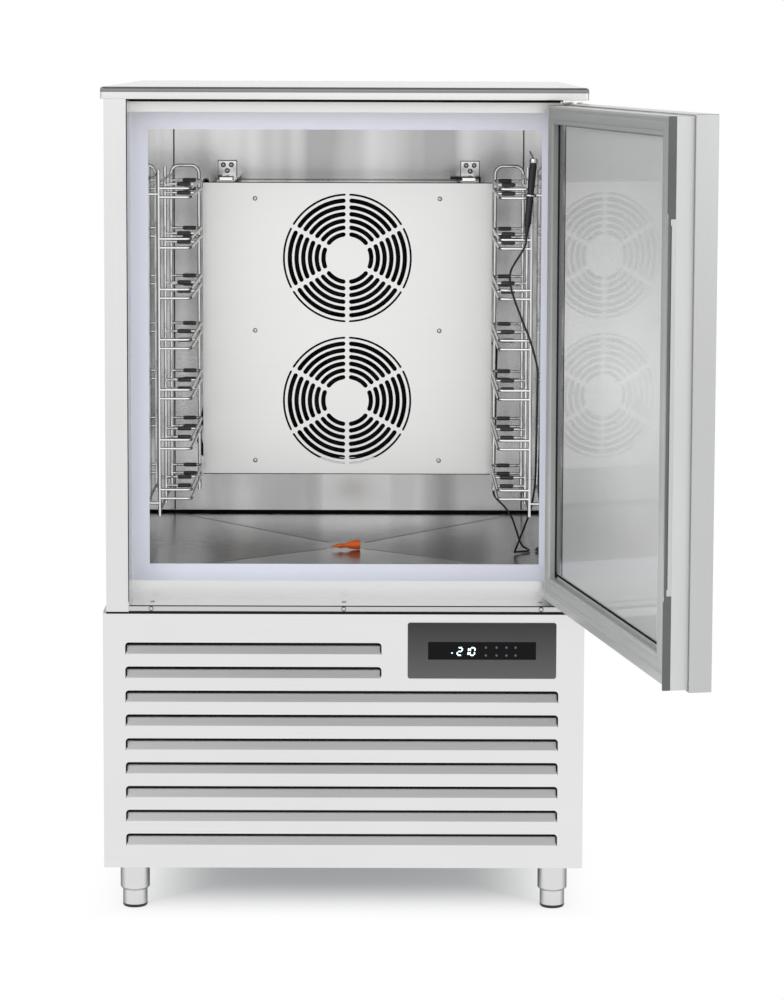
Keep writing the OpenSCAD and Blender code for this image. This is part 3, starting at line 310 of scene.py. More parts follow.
# every finish: the nodes that wear it, how it is made, and its values; those without a node
# are worn by pieces made here
looks = {
    "topSteel": ("worktop", brushedSteel, (0.79, 0.79, 0.785), 0.28, "X"),
    "frontSteel": ("front_frame louvre_panel", brushedSteel, (0.79, 0.795, 0.79), 0.3, "X"),
    "sideSteel": ("left_side_panel right_side_panel lower_left_panel lower_right_panel",
                  brushedSteel, (0.76, 0.76, 0.755), 0.3, "Z"),
    # painted shade: the worktop's roll as a darker copy of the same steel
    "rollSteel": ("", brushedSteel, (0.24, 0.24, 0.24), 0.3, "X"),
    "doorSteel": ("door_skin", brushedSteel, (0.56, 0.565, 0.565), 0.3, "Z"),
    "panSteel": ("", satinSheet, (0.6, 0.605, 0.6), 0.45, 0.25, 0.1),
    "trimSteel": ("sill_trim", brushedSteel, (0.6, 0.6, 0.595), 0.14, "X"),
    "doorFlange": ("door_liner", brushedSteel, (0.58, 0.585, 0.585), 0.26, "Z", 0.04),
    "rimSteel": ("", brushedSteel, (0.42, 0.425, 0.42), 0.2, "Z", 0.04),
    "doorField": ("", satinSheet, (0.95, 0.955, 0.95), 0.45, 0.5, 0.03),
    "linerSteel": ("chamber_liner", chamberSheet, (0.44, 0.445, 0.44), (0.86, 0.865, 0.86)),
    "coverSteel": ("", brushedSteel, (0.7, 0.7, 0.7), 0.1, "X", 0.02),
    "floorSteel": ("sump_floor", brushedSteel, (0.33, 0.333, 0.33), 0.25, "X", 0.05),
    "fanSteel": ("fan_panel", brushedSteel, (0.86, 0.86, 0.85), 0.36, "X", 0.05),
    "footSteel": ("foot_sleeves", brightSteel, (0.74, 0.74, 0.74), 0.16, (0.1, 0.1, 0.1)),
    "bracketSteel": ("", brushedSteel, (0.4, 0.4, 0.4), 0.14, "Y"),
    "plateSteel": ("hinge_brackets", brushedSteel, (0.94, 0.94, 0.93), 0.16, "X", 0.03),
    "wire": ("fan_panel_brackets left_tray_rack right_tray_rack probe_needle probe_clip",
             brightSteel, (0.86, 0.86, 0.86), 0.12, (0.04, 0.04, 0.045)),
    "screw": ("panel_screws drain_fitting condenser_fan door_hinge_bushes",
              brightSteel, (0.62, 0.62, 0.62), 0.24),
    "cap": ("", brightSteel, (0.86, 0.86, 0.86), 0.16),
    "galvanised": ("rear_panel control_box base_tray rear_grille compartment_deck", galvanised),
    "breaker": ("breaker_frame", moulded, (0.77, 0.79, 0.89), 0.34, 700, 0.02),
    "gasket": ("door_gasket", moulded, (0.47, 0.475, 0.47), 0.5, 800, 0.06),
    "edgeStrip": ("door_edge_strip", moulded, (0.1, 0.101, 0.103), 0.45, 700, 0.1),
    "shadow": ("fan_rings fan_motors upper_fan lower_fan",
               moulded, (0.01, 0.01, 0.011), 0.7, 900, 0.1, 0.00002, 0.1),
    # painted shade: dark lines standing for shade in corners, creases and round screws and hooks
    "cornerSeam": ("", moulded, (0.2, 0.203, 0.206), 0.5, 900, 0.1, 0.00002, 0.3),
    "blackPlastic": ("wiring_conduit", moulded, (0.012, 0.012, 0.013), 0.38, 900, 0.2),
    "probeBlack": ("probe_handle", moulded, (0.014, 0.014, 0.015), 0.3, 500, 0.2),
    "cable": ("probe_cable compressor_mounts", moulded, (0.01, 0.01, 0.01), 0.45, 1200, 0.2),
    "fascia": ("control_fascia", brushedSteel, (0.14, 0.14, 0.142), 0.36, "X"),
    "window": ("display_window", moulded, (0.003, 0.003, 0.004), 0.2, 60, 0.1, 0.000002, 0.12),
    "digits": ("", glowing, (0.75, 0.97, 1.0), 1.5),
    "icons": ("", glowing, (0.1, 0.11, 0.12), 0.06),
    "orange": ("drain_plug", moulded, (0.9, 0.13, 0.01), 0.4, 700, 0.08),
    "greyPlastic": ("rack_sleeves cable_glands air_probe",
                    moulded, (0.05, 0.05, 0.052), 0.42, 800, 0.1),
    "enamel": ("compressor condenser_shroud condenser_fan_motor liquid_receiver",
               painted, (0.012, 0.012, 0.013), 0.32),
    "foam": ("cabinet_insulation door_insulation",
             moulded, (0.75, 0.62, 0.34), 0.85, 420, 0.08, 0.0004, 0.2),
    "board": ("worktop_core", moulded, (0.42, 0.28, 0.16), 0.7, 160, 0.2, 0.0002, 0.3),
    "fins": ("condenser_coil", finned, (0.2, 0.21, 0.22), (0.55, 0.56, 0.57)),
    # painted shade: the evaporator's fins, seen in shade behind the fan panel, as a near-black
    # copy of the coil fins
    "darkFins": ("evaporator_coil", finned, (0.012, 0.012, 0.013), (0.04, 0.04, 0.042)),
    "copper": ("refrigerant_pipes", brightSteel, (0.82, 0.42, 0.27), 0.24),
    "footBlack": ("front_left_foot front_right_foot rear_left_foot rear_right_foot",
                  moulded, (0.015, 0.015, 0.016), 0.42, 600, 0.2),
}
finishes = {}
for finish, (names, make, *values) in looks.items():
    finishes[finish] = make(finish, *values)
    for name in names.split():
        materials = frame["nodes"][name].data.materials
        materials.clear()
        materials.append(finishes[finish])

# large soft tones of the reflections in the photograph: darker away from one height, or where a
# face leans back
shadeByHeight(finishes["doorField"], (0.48, 0.96, 1.4), (0.46, 0.465, 0.46))
shadeByHeight(finishes["gasket"], (0.0, 0.7, 1.42), (0.26, 0.262, 0.26))
shadeByHeight(finishes["fascia"], (0.2, 0.4, 0.51), (0.05, 0.05, 0.051))
shadeByLean(finishes["frontSteel"], (0.15, 0.45), (0.6, 0.6, 0.6))

bodyOfNode = {name: body for body, names in frame["record"]["behaviour"]["bodies"].items()
              for name in names}
print("materials:", len(finishes), "finishes on", len(frame["nodes"]), "nodes")


# meshes: joins (vertices, faces) pairs into one piece that stands for one or more nodes
def joined(parts):
    verts, faces, start = [], [], 0
    for partVerts, partFaces in parts:
        verts.append(np.asarray(partVerts, float))
        faces += [tuple(int(i) + start for i in face) for face in partFaces]
        start += len(partVerts)
    return np.concatenate(verts), faces


def evaluatedMesh(made):
    graph = bpy.context.evaluated_depsgraph_get()
    graph.update()
    return bpy.data.meshes.new_from_object(made.evaluated_get(graph))


# wide flat faces keep straight normals beside their rounded edges
def evenNormals(piece):
    piece.modifiers.new("even normals", "WEIGHTED_NORMAL").keep_sharp = True
    even = evaluatedMesh(piece)
    piece.modifiers.clear()
    piece.data = even


# points that fall on each other become one, and every closed shell faces outwards
def closeShells(mesh, apart=0.000001):
    built = bmesh.new()
    built.from_mesh(mesh)
    bmesh.ops.remove_doubles(built, verts=built.verts, dist=apart)
    bmesh.ops.recalc_face_normals(built, faces=built.faces)
    built.to_mesh(mesh)
    built.free()


def addPiece(name, parts, finish, replaced=(), like=None):
    verts, faces = joined(parts)
    mesh = bpy.data.meshes.new(name)
    mesh.from_pydata(verts.tolist(), [], faces)
    closeShells(mesh)
    mesh.update()
    mesh.shade_smooth()
    mesh.set_sharp_from_angle(angle=math.radians(40))
    mesh.materials.append(finishes[finish])
    piece = addObject(name, mesh)
    evenNormals(piece)
    source = like or replaced[0]
    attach(piece, bodyOfNode[source])
    if replaced:
        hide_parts(*replaced)
    return piece


# a rows by cols grid of quads; closed directions wrap round
def gridFaces(rows, cols, wrapRows=False, wrapCols=False):
    rowCount, colCount = rows if wrapRows else rows - 1, cols if wrapCols else cols - 1
    i, j = np.meshgrid(np.arange(rowCount), np.arange(colCount), indexing="ij")
    nextI, nextJ = (i + 1) % rows, (j + 1) % cols
    quads = np.stack([i * cols + j, i * cols + nextJ, nextI * cols + nextJ, nextI * cols + j], -1)
    return [tuple(q) for q in quads.reshape(-1, 4)]


# a skin over rings of points, closed by its first and last ring
def ringFaces(rings, count):
    ends = [tuple(range(count - 1, -1, -1)), tuple(range((rings - 1) * count, rings * count))]
    return gridFaces(rings, count, False, True) + ends


# the four corners of a rounded outline: the angles of their arcs, and their signs in X and Y
def cornerArcs(steps):
    quarter = np.linspace(0, math.pi / 2, steps + 1)
    angles = np.concatenate([quarter + k * math.pi / 2 for k in range(4)])
    return angles, np.repeat([[1, 1], [-1, 1], [-1, -1], [1, -1]], steps + 1, axis=0)


# a polyline with each inner corner replaced by an arc of the given radius
def roundedPath(points, radius, steps):
    points = [np.asarray(p, float) for p in points]
    path = [points[0]]
    for before, corner, after in zip(points, points[1:], points[2:]):
        reachIn, reachOut = np.linalg.norm(before - corner), np.linalg.norm(after - corner)
        inward, outward = (before - corner) / reachIn, (after - corner) / reachOut
        half = math.acos(float(np.clip(inward @ outward, -1, 1))) / 2
        back = min(radius / math.tan(half), reachIn * 0.49, reachOut * 0.49)
        bisector = (inward + outward) / np.linalg.norm(inward + outward)
        middle = corner + bisector * back * math.tan(half) / math.sin(half)
        start, end = corner + inward * back - middle, corner + outward * back - middle
        sweep = math.pi - 2 * half
        for t in np.linspace(0, 1, steps + 1):
            turnedTo = start * math.sin((1 - t) * sweep) + end * math.sin(t * sweep)
            path.append(middle + turnedTo / math.sin(sweep))
    path.append(points[-1])
    return np.array(path)


# a curve through points: each stretch is a cubic whose ends' slopes are half the chord
# between the points before and after
def smoothPath(points, steps):
    padded = np.vstack([points[:1], points, points[-1:]])
    a, b, c, d = (padded[k:k + len(points) - 1][:, None] for k in range(4))
    t = (np.arange(steps) / steps)[None, :, None]
    curve = 0.5 * (2 * b + (c - a) * t + (2 * a - 5 * b + 4 * c - d) * t ** 2
                   + (3 * b - a - 3 * c + d) * t ** 3)
    return np.vstack([curve.reshape(-1, 3), points[-1:]])


# a round tube along a path: ring centres on the path, rings square to it
def tube(path, radius, sides, closed=False):
    path = np.asarray(path, float)
    ahead = (np.roll(path, -1, 0) - np.roll(path, 1, 0)) if closed else np.gradient(path, axis=0)
    ahead /= np.linalg.norm(ahead, axis=1)[:, None]
    side = np.cross(ahead[0], (0, 0, 1) if abs(ahead[0][2]) < 0.9 else (0, 1, 0))
    sideways = []
    for direction in ahead:
        side = side - direction * (side @ direction)
        side = side / np.linalg.norm(side)
        sideways.append(side)
    sideways = np.array(sideways)
    upward = np.cross(ahead, sideways)
    turn = (np.arange(sides) * 2 * math.pi / sides)[None, :, None]
    rings = path[:, None] + radius * (np.cos(turn) * sideways[:, None]
                                      + np.sin(turn) * upward[:, None])
    faces = gridFaces(len(path), sides, True, True) if closed else ringFaces(len(path), sides)
    return rings.reshape(-1, 3), faces


# a straight tube between two points
def rod(start, end, stations, radius, sides):
    return tube(np.linspace(start, end, stations), radius, sides)


# a turned shape: (radius, height) points in millimetres, spun about an axis from a base point
def turned(profile, base, axis=(0, 0, 1), sides=48):
    profile = np.asarray(profile, float) * mm
    axis = np.asarray(axis, float) / np.linalg.norm(axis)
    first = np.cross(axis, (1, 0, 0) if abs(axis[0]) < 0.9 else (0, 1, 0))
    first /= np.linalg.norm(first)
    second = np.cross(axis, first)
    turn = np.arange(sides) * 2 * math.pi / sides
    spin = np.cos(turn)[:, None] * first + np.sin(turn)[:, None] * second
    rings = np.asarray(base) + profile[:, None, 1:2] * axis + profile[:, None, 0:1] * spin[None]
    return rings.reshape(-1, 3), ringFaces(len(profile), sides)


# a flat ring, its sizes in millimetres like a turned profile
def washer(inner, outer, thick, base, axis, sides):
    return turned([(inner, 0), (outer, 0), (outer, thick), (inner, thick)], base, axis, sides)


# a block whose twelve edges are rounded: a sphere's eight octants pulled apart to its corners
def softBlock(low, high, radius, steps=3):
    low, high = np.asarray(low, float), np.asarray(high, float)
    radius = min(radius, (high - low).min() / 2 - 1e-6)
    around, corner = cornerArcs(steps)
    quarter = np.linspace(0, math.pi / 2, steps + 1)
    lift = np.concatenate([quarter - math.pi / 2, quarter])
    level = np.repeat([-1, 1], steps + 1)
    middle, half = (low + high) / 2, (high - low) / 2 - radius
    reach = radius * np.cos(lift)[:, None]
    x = corner[None, :, 0] * half[0] + reach * np.cos(around)[None]
    y = corner[None, :, 1] * half[1] + reach * np.sin(around)[None]
    z = level[:, None] * half[2] + radius * np.sin(lift)[:, None] + 0 * x
    verts = np.stack([x, y, z], -1).reshape(-1, 3) + middle
    return verts, ringFaces(len(lift), len(around))


def softBlocks(boxes, radius, steps=3):
    return [softBlock(low, high, radius, steps) for low, high in boxes]


# an upright stack of rounded rectangles; each level is (inset, height above the bottom)
def stackedSlab(low, high, levels, cornerRadius):
    angles, signs = cornerArcs(5)
    middle, half = (low + high) / 2, (high - low) / 2
    rings = []
    for inset, height in levels:
        r = max(cornerRadius - inset, 0.0002)
        x = middle[0] + signs[:, 0] * (half[0] - inset - r) + r * np.cos(angles)
        y = middle[1] + signs[:, 1] * (half[1] - inset - r) + r * np.sin(angles)
        rings.append(np.column_stack([x, y, np.full(len(x), low[2] + height)]))
    return np.vstack(rings), ringFaces(len(levels), len(angles))


# a picture frame in the X-Z plane: a closed (outward, back) profile carried round four
# mitred corners; outward is measured from the inner rectangle
def mitredFrame(inner, profile):
    x0, x1, z0, z1 = inner
    profile = np.asarray(profile, float)
    corner = np.array([[x0, z0, -1, -1], [x1, z0, 1, -1], [x1, z1, 1, 1], [x0, z1, -1, 1]])
    x = corner[:, 0, None] + corner[:, 2, None] * profile[None, :, 0]
    z = corner[:, 1, None] + corner[:, 3, None] * profile[None, :, 0]
    y = np.broadcast_to(profile[None, :, 1], x.shape)
    return np.stack([x, y, z], -1).reshape(-1, 3), gridFaces(4, len(profile), True, True)


def mirrored(part):
    return part[0] * (-1, 1, 1), part[1]


# the probe's cable, from the handle down to the floor and up behind the rack to its gland
probe = {"at": np.array([0.305, -0.325, 1.156]), "lean": math.radians(5)}
probeAxis = np.array([math.sin(probe["lean"]), 0, math.cos(probe["lean"])])


def makeCable():
    settings = {"relief": 0.021, "diameter": 0.0036, "steps": 6, "sides": 12}
    start = probe["at"] - settings["relief"] * probeAxis
    # in millimetres, as the frame has them
    route = [
        (302, -325, 1122), (294, -328, 1108), (285, -330, 1094), (278, -331, 1081),
        (276, -331, 1067), (278, -331, 1052), (284, -331, 1031), (300, -329, 989),
        (310, -328, 965), (323, -326, 918), (324, -324, 885), (324, -296, 770),
        (324, -268, 712), (319, -244, 668), (311, -224, 636), (297, -191, 590),
        (294, -180, 579), (297, -169, 577), (306, -163, 577), (316, -158, 577),
        (321, -148, 577), (319, -137, 577), (311, -125, 580), (305, -108, 590),
        (300, -88, 605), (293, -63, 623), (281, -32, 637), (271, -6, 644),
        (265, 14, 651), (264, 25, 668), (266, 29, 710), (268, 33, 850),
        (269, 45, 890), (271, 80, 908), (273, 148, 911), (271, 166, 909),
        (265, 177, 908), (257, 180, 908), (250, 180, 908)]
    path = smoothPath(np.vstack([start, np.array(route) * mm]), settings["steps"])
    piece = addPiece("probe_lead", [tube(path, settings["diameter"] / 2, settings["sides"])],
                     "cable", ["probe_cable"])


makeCable()


# 1 for camera, mirror and see-through rays, so that metal shows the white floor too
def seenRays(tree):
    ray = addNode(tree, "ShaderNodeLightPath")
    first = calculate(tree, "MAXIMUM", ray.outputs["Is Camera Ray"], ray.outputs["Is Glossy Ray"])
    return calculate(tree, "MAXIMUM", first, ray.outputs["Is Transmission Ray"])


def emptyTree(holder):
    holder.use_nodes = True
    holder.node_tree.nodes.clear()
    return holder.node_tree


def mixShaders(tree, factor, first, second):
    return addNode(tree, "ShaderNodeMixShader", {
        0: factor, 1: first.outputs[0], 2: second.outputs[0]})


# the studio floor: white round about, and shaded by the cabinet only near its foot
def makeFloor():
    settings = {"halfWide": 30, "grey": 0.93, "nearGlow": 0.2, "near": 0.2, "far": 0.46}
    edge, grey = settings["halfWide"], settings["grey"]
    mesh = bpy.data.meshes.new("studio_floor")
    mesh.from_pydata([(-edge, -edge, 0), (edge, -edge, 0), (edge, edge, 0), (-edge, edge, 0)],
                     [], [(0, 1, 2, 3)])
    material = bpy.data.materials.new("studio floor")
    tree = emptyTree(material)
    matt = addNode(tree, "ShaderNodeBsdfDiffuse", {"Color": (grey, grey, grey, 1)})
    glow = addNode(tree, "ShaderNodeEmission", {"Color": (1, 1, 1, 1), "Strength": 1.0})
    aside = addNode(tree, "ShaderNodeVectorMath", {0: objectPlace(tree)}, operation="ABSOLUTE")
    away = calculate(tree, "MAXIMUM", axisPart(tree, aside.outputs[0], "X"),
                     axisPart(tree, aside.outputs[0], "Y"))
    share = mapRange(tree, away, settings["nearGlow"], 1.0, settings["near"], settings["far"],
                     interpolation_type="SMOOTHSTEP")
    both = mixShaders(tree, calculate(tree, "MULTIPLY", seenRays(tree), share), matt, glow)
    addNode(tree, "ShaderNodeOutputMaterial", {0: both.outputs[0]})
    mesh.materials.append(material)
    addObject("studio_floor", mesh)


def backdrop(tree, colour, power):
    return addNode(tree, "ShaderNodeBackground", {"Color": (*colour, 1), "Strength": power})


# a white room whose ceiling and far sides are darker in mirror reflections
def makeRoom():
    settings = {"ceiling": (0.3, 0.45, 0.95), "sides": (0.72, 0.35, 0.95)}
    world = bpy.data.worlds.new("studio")
    bpy.context.scene.world = world
    tree = emptyTree(world)
    direction = addNode(tree, "ShaderNodeTexCoord").outputs["Generated"]
    above = axisPart(tree, direction, "Z")
    aside = calculate(tree, "ABSOLUTE", axisPart(tree, direction, "X"))
    tones = [mapRange(tree, part, 1.0, *settings[side], interpolation_type="SMOOTHSTEP")
             for part, side in ((above, "ceiling"), (aside, "sides"))]
    soft = backdrop(tree, (0.98, 0.99, 1), 1.0)
    dimmed = backdrop(tree, (1, 1, 1), calculate(tree, "MULTIPLY", *tones))
    white = backdrop(tree, (1, 1, 1), 1.0)
    ray = addNode(tree, "ShaderNodeLightPath")
    behind = mixShaders(tree, ray.outputs["Is Glossy Ray"], soft, dimmed)
    direct = calculate(tree, "MAXIMUM", ray.outputs["Is Camera Ray"],
                       ray.outputs["Is Transmission Ray"])
    addNode(tree, "ShaderNodeOutputWorld", {
        0: mixShaders(tree, direct, behind, white).outputs[0]})


def addLamp(name, place, aim, size, power):
    data = bpy.data.lights.new(name, "AREA")
    data.shape = "RECTANGLE"
    data.size, data.size_y = size
    data.energy = power
    turn = (Vector(place) - Vector(aim)).to_track_quat("Z", "Y").to_matrix().to_4x4()
    addObject(name, data).matrix_world = Matrix.Translation(place) @ turn


makeFloor()
makeRoom()
addLamp("key", (-2.4, -3.6, 3.2), (0, 0, 0.8), (2.2, 2.2), 24)
addLamp("fill", (2.8, -3.2, 2.2), (0, 0, 0.8), (2.4, 2.4), 12)
addLamp("front", (0.2, -4.6, 2.6), (0, 0, 0.9), (1.6, 1.6), 8)
print("stage and lamps set")


# the sheet is folded in under its edge, round the core board, and rolled over at the top, where
# painted shade, a darker band of the same steel, runs along the roll
def makeWorktop():
    settings = {"roll": 0.005, "corner": 0.006, "fold": 0.0016, "band": 0.0088}
    thick, roll = worktopHigh[2] - worktopLow[2], settings["roll"]
    split = thick - settings["band"]
    body = [(settings["fold"], 0.0004), (0.0011, 0), (0.0004, 0.0001), (0.0, 0.0008),
            (0.0, split), (0.002, split + 0.0001)]
    edge = [(0.002, split), (0.0001, split + 0.00005), (0.0001, split + 0.0003)]
    edge += [(roll * (1 - math.cos(t)) + 0.0001, thick - roll * (1 - math.sin(t)) - 0.0001)
             for t in np.linspace(0, math.pi / 2, 9)]
    top = [(roll + 0.0006, thick - 0.001), (roll + 0.0002, thick - 0.0003), (roll + 0.0006, thick)]
    for name, levels, finish, replaced in (("worktop_shell", body, "topSteel", ["worktop"]),
                                           ("worktop_roll", edge, "rollSteel", ()),
                                           ("worktop_face", top, "topSteel", ())):
        addPiece(name, [stackedSlab(worktopLow, worktopHigh, levels, settings["corner"])],
                 finish, replaced, like="worktop")


# thin dark bars where the photograph shows open seams
def makeSeams():
    breakerFace, face = breakerLow[1], -0.4253
    top, ledge, right = worktopLow[2], trimHigh[2], trimHigh[0]
    fanX, fanFace = fanPanelHigh[0], fanPanelLow[1]
    bars = [((stileX - 0.0004, face, ledge + 0.006), (stileX + 0.0008, -0.42, top)),
            ((stileX, breakerFace - 0.0006, top - 0.0055),
             (right - 0.002, breakerFace + 0.0015, top - 0.0002)),
            ((-0.394, face, panelHigh[2] - 0.0008), (0.394, -0.4205, trimLow[2] + 0.0006)),
            ((stileX + 0.001, face - 0.0003, ledge - 0.0011),
             (right - 0.001, -0.42, ledge - 0.0003)),
            ((-chamber["wallX"], 0.292, 0.574), (chamber["wallX"], chamber["backY"], 0.579))]
    bars += [((-fanX, fanFace - 0.0002, z), (fanX, fanFace + 0.002, z + 0.0014))
             for z in (fanPanelLow[2] - 0.0013, fanPanelHigh[2] - 0.0001)]
    addPiece("seam_shadows", softBlocks(bars, 0.0002, 1), "shadow", like="front_frame")


# painted shade: dark lines in the chamber's back corners, and along the floor's creases that run
# down to the drain
def makeCornerShade():
    backY, wallX, half = chamber["backY"], chamber["wallX"], drain["half"]
    parts = []
    for side in (-1, 1):
        x = sorted((side * wallX, side * (wallX - 0.0013)))
        parts.append(softBlock((x[0], backY - 0.0012, 0.58), (x[1], backY, 1.3145), 0.0005, 2))
        for y, nearY in ((backY, drain["y"] + half), (chamber["frontY"], drain["y"] - half)):
            crease = np.linspace((side * wallX, y, chamber["floorZ"]),
                                 (side * half, nearY, drain["z"]), 6)
            parts.append(tube(crease + (0, 0, 0.0001), 0.0004, 6))
    addPiece("corner_seams", parts, "cornerSeam", like="chamber_liner")


# a plain sheet over the coil, and a strainer in the drain
def makeCoverAndStrainer():
    sheet = softBlock((-0.243, 0.076, 1.2021), (0.243, 0.274, 1.2033), 0.0004, 2)
    addPiece("coil_cover", [sheet], "coverSteel", like="evaporator_coil")
    rings = [washer(r0, r1, 1, (0, drain["y"], 0.5635), (0, 0, 1), 32)
             for r0, r1 in ((16.5, 21.4), (10, 14.5), (3.5, 8))]
    centre = np.array([0, drain["y"], 0.5638])
    for along in ((0.021, 0, 0), (0, 0.021, 0)):
        rings.append(rod(centre - along, centre + along, 3, 0.0009, 8))
    addPiece("drain_strainer", rings, "plateSteel", like="drain_fitting")


# four mitred strips with a crowned face and a fine seam between them
def makeBreaker():
    settings = {"seam": 0.0004, "crown": 0.0009, "wide": 0.029, "high": 0.033, "shown": 0.0285}
    openX, outX, shown = breakerHigh[0] - settings["wide"], breakerHigh[0], settings["shown"]
    z0, z1 = breakerLow[2] + settings["high"], breakerHigh[2] - settings["high"]
    across = np.linspace(0, 1, 9)
    # crown: the face bulges by a half sine across the strip
    face = breakerLow[1] + settings["crown"] * (1 - np.sin(across * math.pi))
    back = np.full(9, breakerHigh[1])
    inner = np.array([[-openX, z0], [openX, z0], [openX, z1], [-openX, z1]])
    outer = np.array([[-outX, z0 - shown], [outX, z0 - shown], [outX, z1 + shown],
                      [-outX, z1 + shown]])
    parts = []
    for k in range(4):
        a0, b0, a1, b1 = inner[k], inner[(k + 1) % 4], outer[k], outer[(k + 1) % 4]
        seam = (b1 - a1) / np.linalg.norm(b1 - a1) * settings["seam"]
        rows = []
        for near, far in ((a0 + seam, a1 + seam), (b0 - seam, b1 - seam)):
            line = near + across[:, None] * (far - near)
            rows += [np.column_stack([line[:, 0], face, line[:, 1]]),
                     np.column_stack([line[::-1, 0], back, line[::-1, 1]])]
        parts.append((np.vstack(rows), ringFaces(2, 18)))
    addPiece("breaker_strips", parts, "breaker", ["breaker_frame"])


# the dark void behind each slit, and the dark cuts where a flap leaves the sheet at its ends
def makeLouvreShadows():
    settings = {"rows": 9, "short": 2, "left": -0.363, "right": 0.3575, "stop": 0.063,
                "first": 0.464, "pitch": 0.0405, "slit": 0.004, "lean": 0.0072,
                "cut": 0.0135, "wide": 0.0026}
    front, wide, half = panelLow[1], settings["wide"], settings["slit"] / 2
    void = front + settings["lean"]
    parts = []
    for row in range(settings["rows"]):
        z = settings["first"] - row * settings["pitch"]
        x0, x1 = settings["left"], settings["stop" if row < settings["short"] else "right"]
        parts.append(softBlock((x0 + 0.001, void, z - half - 0.0019),
                               (x1 - 0.001, void + 0.006, z + half + 0.004), 0.0004, 1))
        parts += softBlocks([((x, front + 0.0003, z - settings["cut"]),
                              (x + wide, front + 0.008, z - 0.001)) for x in (x0, x1 - wide)],
                            0.0003, 1)
    addPiece("louvre_shadows", parts, "shadow", like="louvre_panel")


# pan heads: a domed rim round a hollow that stands for the drive, sizes in millimetres
def screwHead(place, axis, radius, height):
    profile = [(radius, 0), (radius, height * 0.45), (radius * 0.92, height * 0.75),
               (radius * 0.72, height * 0.95), (radius * 0.42, height),
               (radius * 0.38, height * 0.55), (0.2, height * 0.5)]
    return turned(profile, place, axis, 20)


def makeScrews():
    ledge, front, fanFace = trimHigh[2], trimLow[1], fanPanelLow[1]
    outward = (0, -1, 0)
    places = [((x, front + 0.036, ledge), (0, 0, 1)) for x in (-0.32, 0, 0.328)]
    places += [((x, front, (trimLow[2] + ledge) / 2), outward) for x in (-0.32, 0, 0.328)]
    places += [((x, fanFace, z), outward) for x in (-0.166, 0.166) for z in (0.706, 0.942, 1.18)]
    heads = [screwHead(place, axis, 3.4, 1.6) for place, axis in places]
    # painted shade: a dark ring round each screw head
    shadeRings = [washer(3.5, 4.2, 0.4, place, axis, 20) for place, axis in places]
    addPiece("screws", heads, "screw", ["panel_screws"])
    addPiece("screw_shade_rings", shadeRings, "cornerSeam", like="panel_screws")


rack = {"levels": 7, "pitch": 0.085, "first": 0.705, "drop": 0.015, "y": (-0.305, 0.005)}
railHeights = [rack["first"] + level * rack["pitch"] - drop
               for level in range(rack["levels"]) for drop in (0, rack["drop"])]


# tray racks: each level is one wire bent round both inner corners, with a straight mid wire
def makeRacks():
    settings = {"rail": 0.0024, "cross": 0.0022, "post": 0.0029, "bar": 0.0025, "bend": 0.009,
                "loopBend": 0.014, "railX": 0.2594, "postX": 0.313}
    railX, postX, post = settings["railX"], settings["postX"], settings["post"]
    (y0, y1), bottom, top, loopTop = rack["y"], 0.66, 1.245, 1.241
    middle = (y0 + y1) / 2
    parts = []
    for z in railHeights:
        bent = roundedPath([(postX, y0, z), (railX, y0, z), (railX, y1, z), (postX, y1, z)],
                           settings["bend"], 8)
        parts += [tube(bent, settings["rail"], 12),
                  rod((railX, middle, z), (postX, middle, z), 3, settings["cross"], 10)]
    parts += [rod((postX, y, bottom), (postX, y, top), 5, post, 12) for y in (y0, middle)]
    loopX = railX + 0.004
    loop = roundedPath([(loopX, y1, bottom), (loopX, y1, loopTop), (postX, y1, loopTop),
                        (postX, y1, bottom)], settings["loopBend"], 10)
    parts.append(tube(loop, post, 12))
    parts += [rod((postX, y0, z), (postX, y1, z), 4, settings["bar"], 10)
              for z in (top - 0.02, bottom + 0.008)]
    parts += [rod((postX, y, z), (chamber["wallX"], y, z), 3, settings["rail"], 10)
              for y in (y0, y1) for z in (top - 0.04, bottom + 0.022)]
    addPiece("right_rack_wires", parts, "wire", ["right_tray_rack"])
    addPiece("left_rack_wires", [mirrored(p) for p in parts], "wire", ["left_tray_rack"])


# the dark sleeves swell a little at both ends
def makeSleeves():
    profile = [(2.5, 0), (3, 0.8), (3.6, 2.8), (3.8, 6), (3.5, 11),
               (3.8, 17), (3.6, 21.2), (3, 23.2), (2.5, 24)]
    addPiece("wire_sleeves", [turned(profile, (side * 0.2684, y, z), (side, 0, 0), 14)
                              for z in railHeights for y in (-0.15, 0.005) for side in (1, -1)],
             "greyPlastic", ["rack_sleeves"])


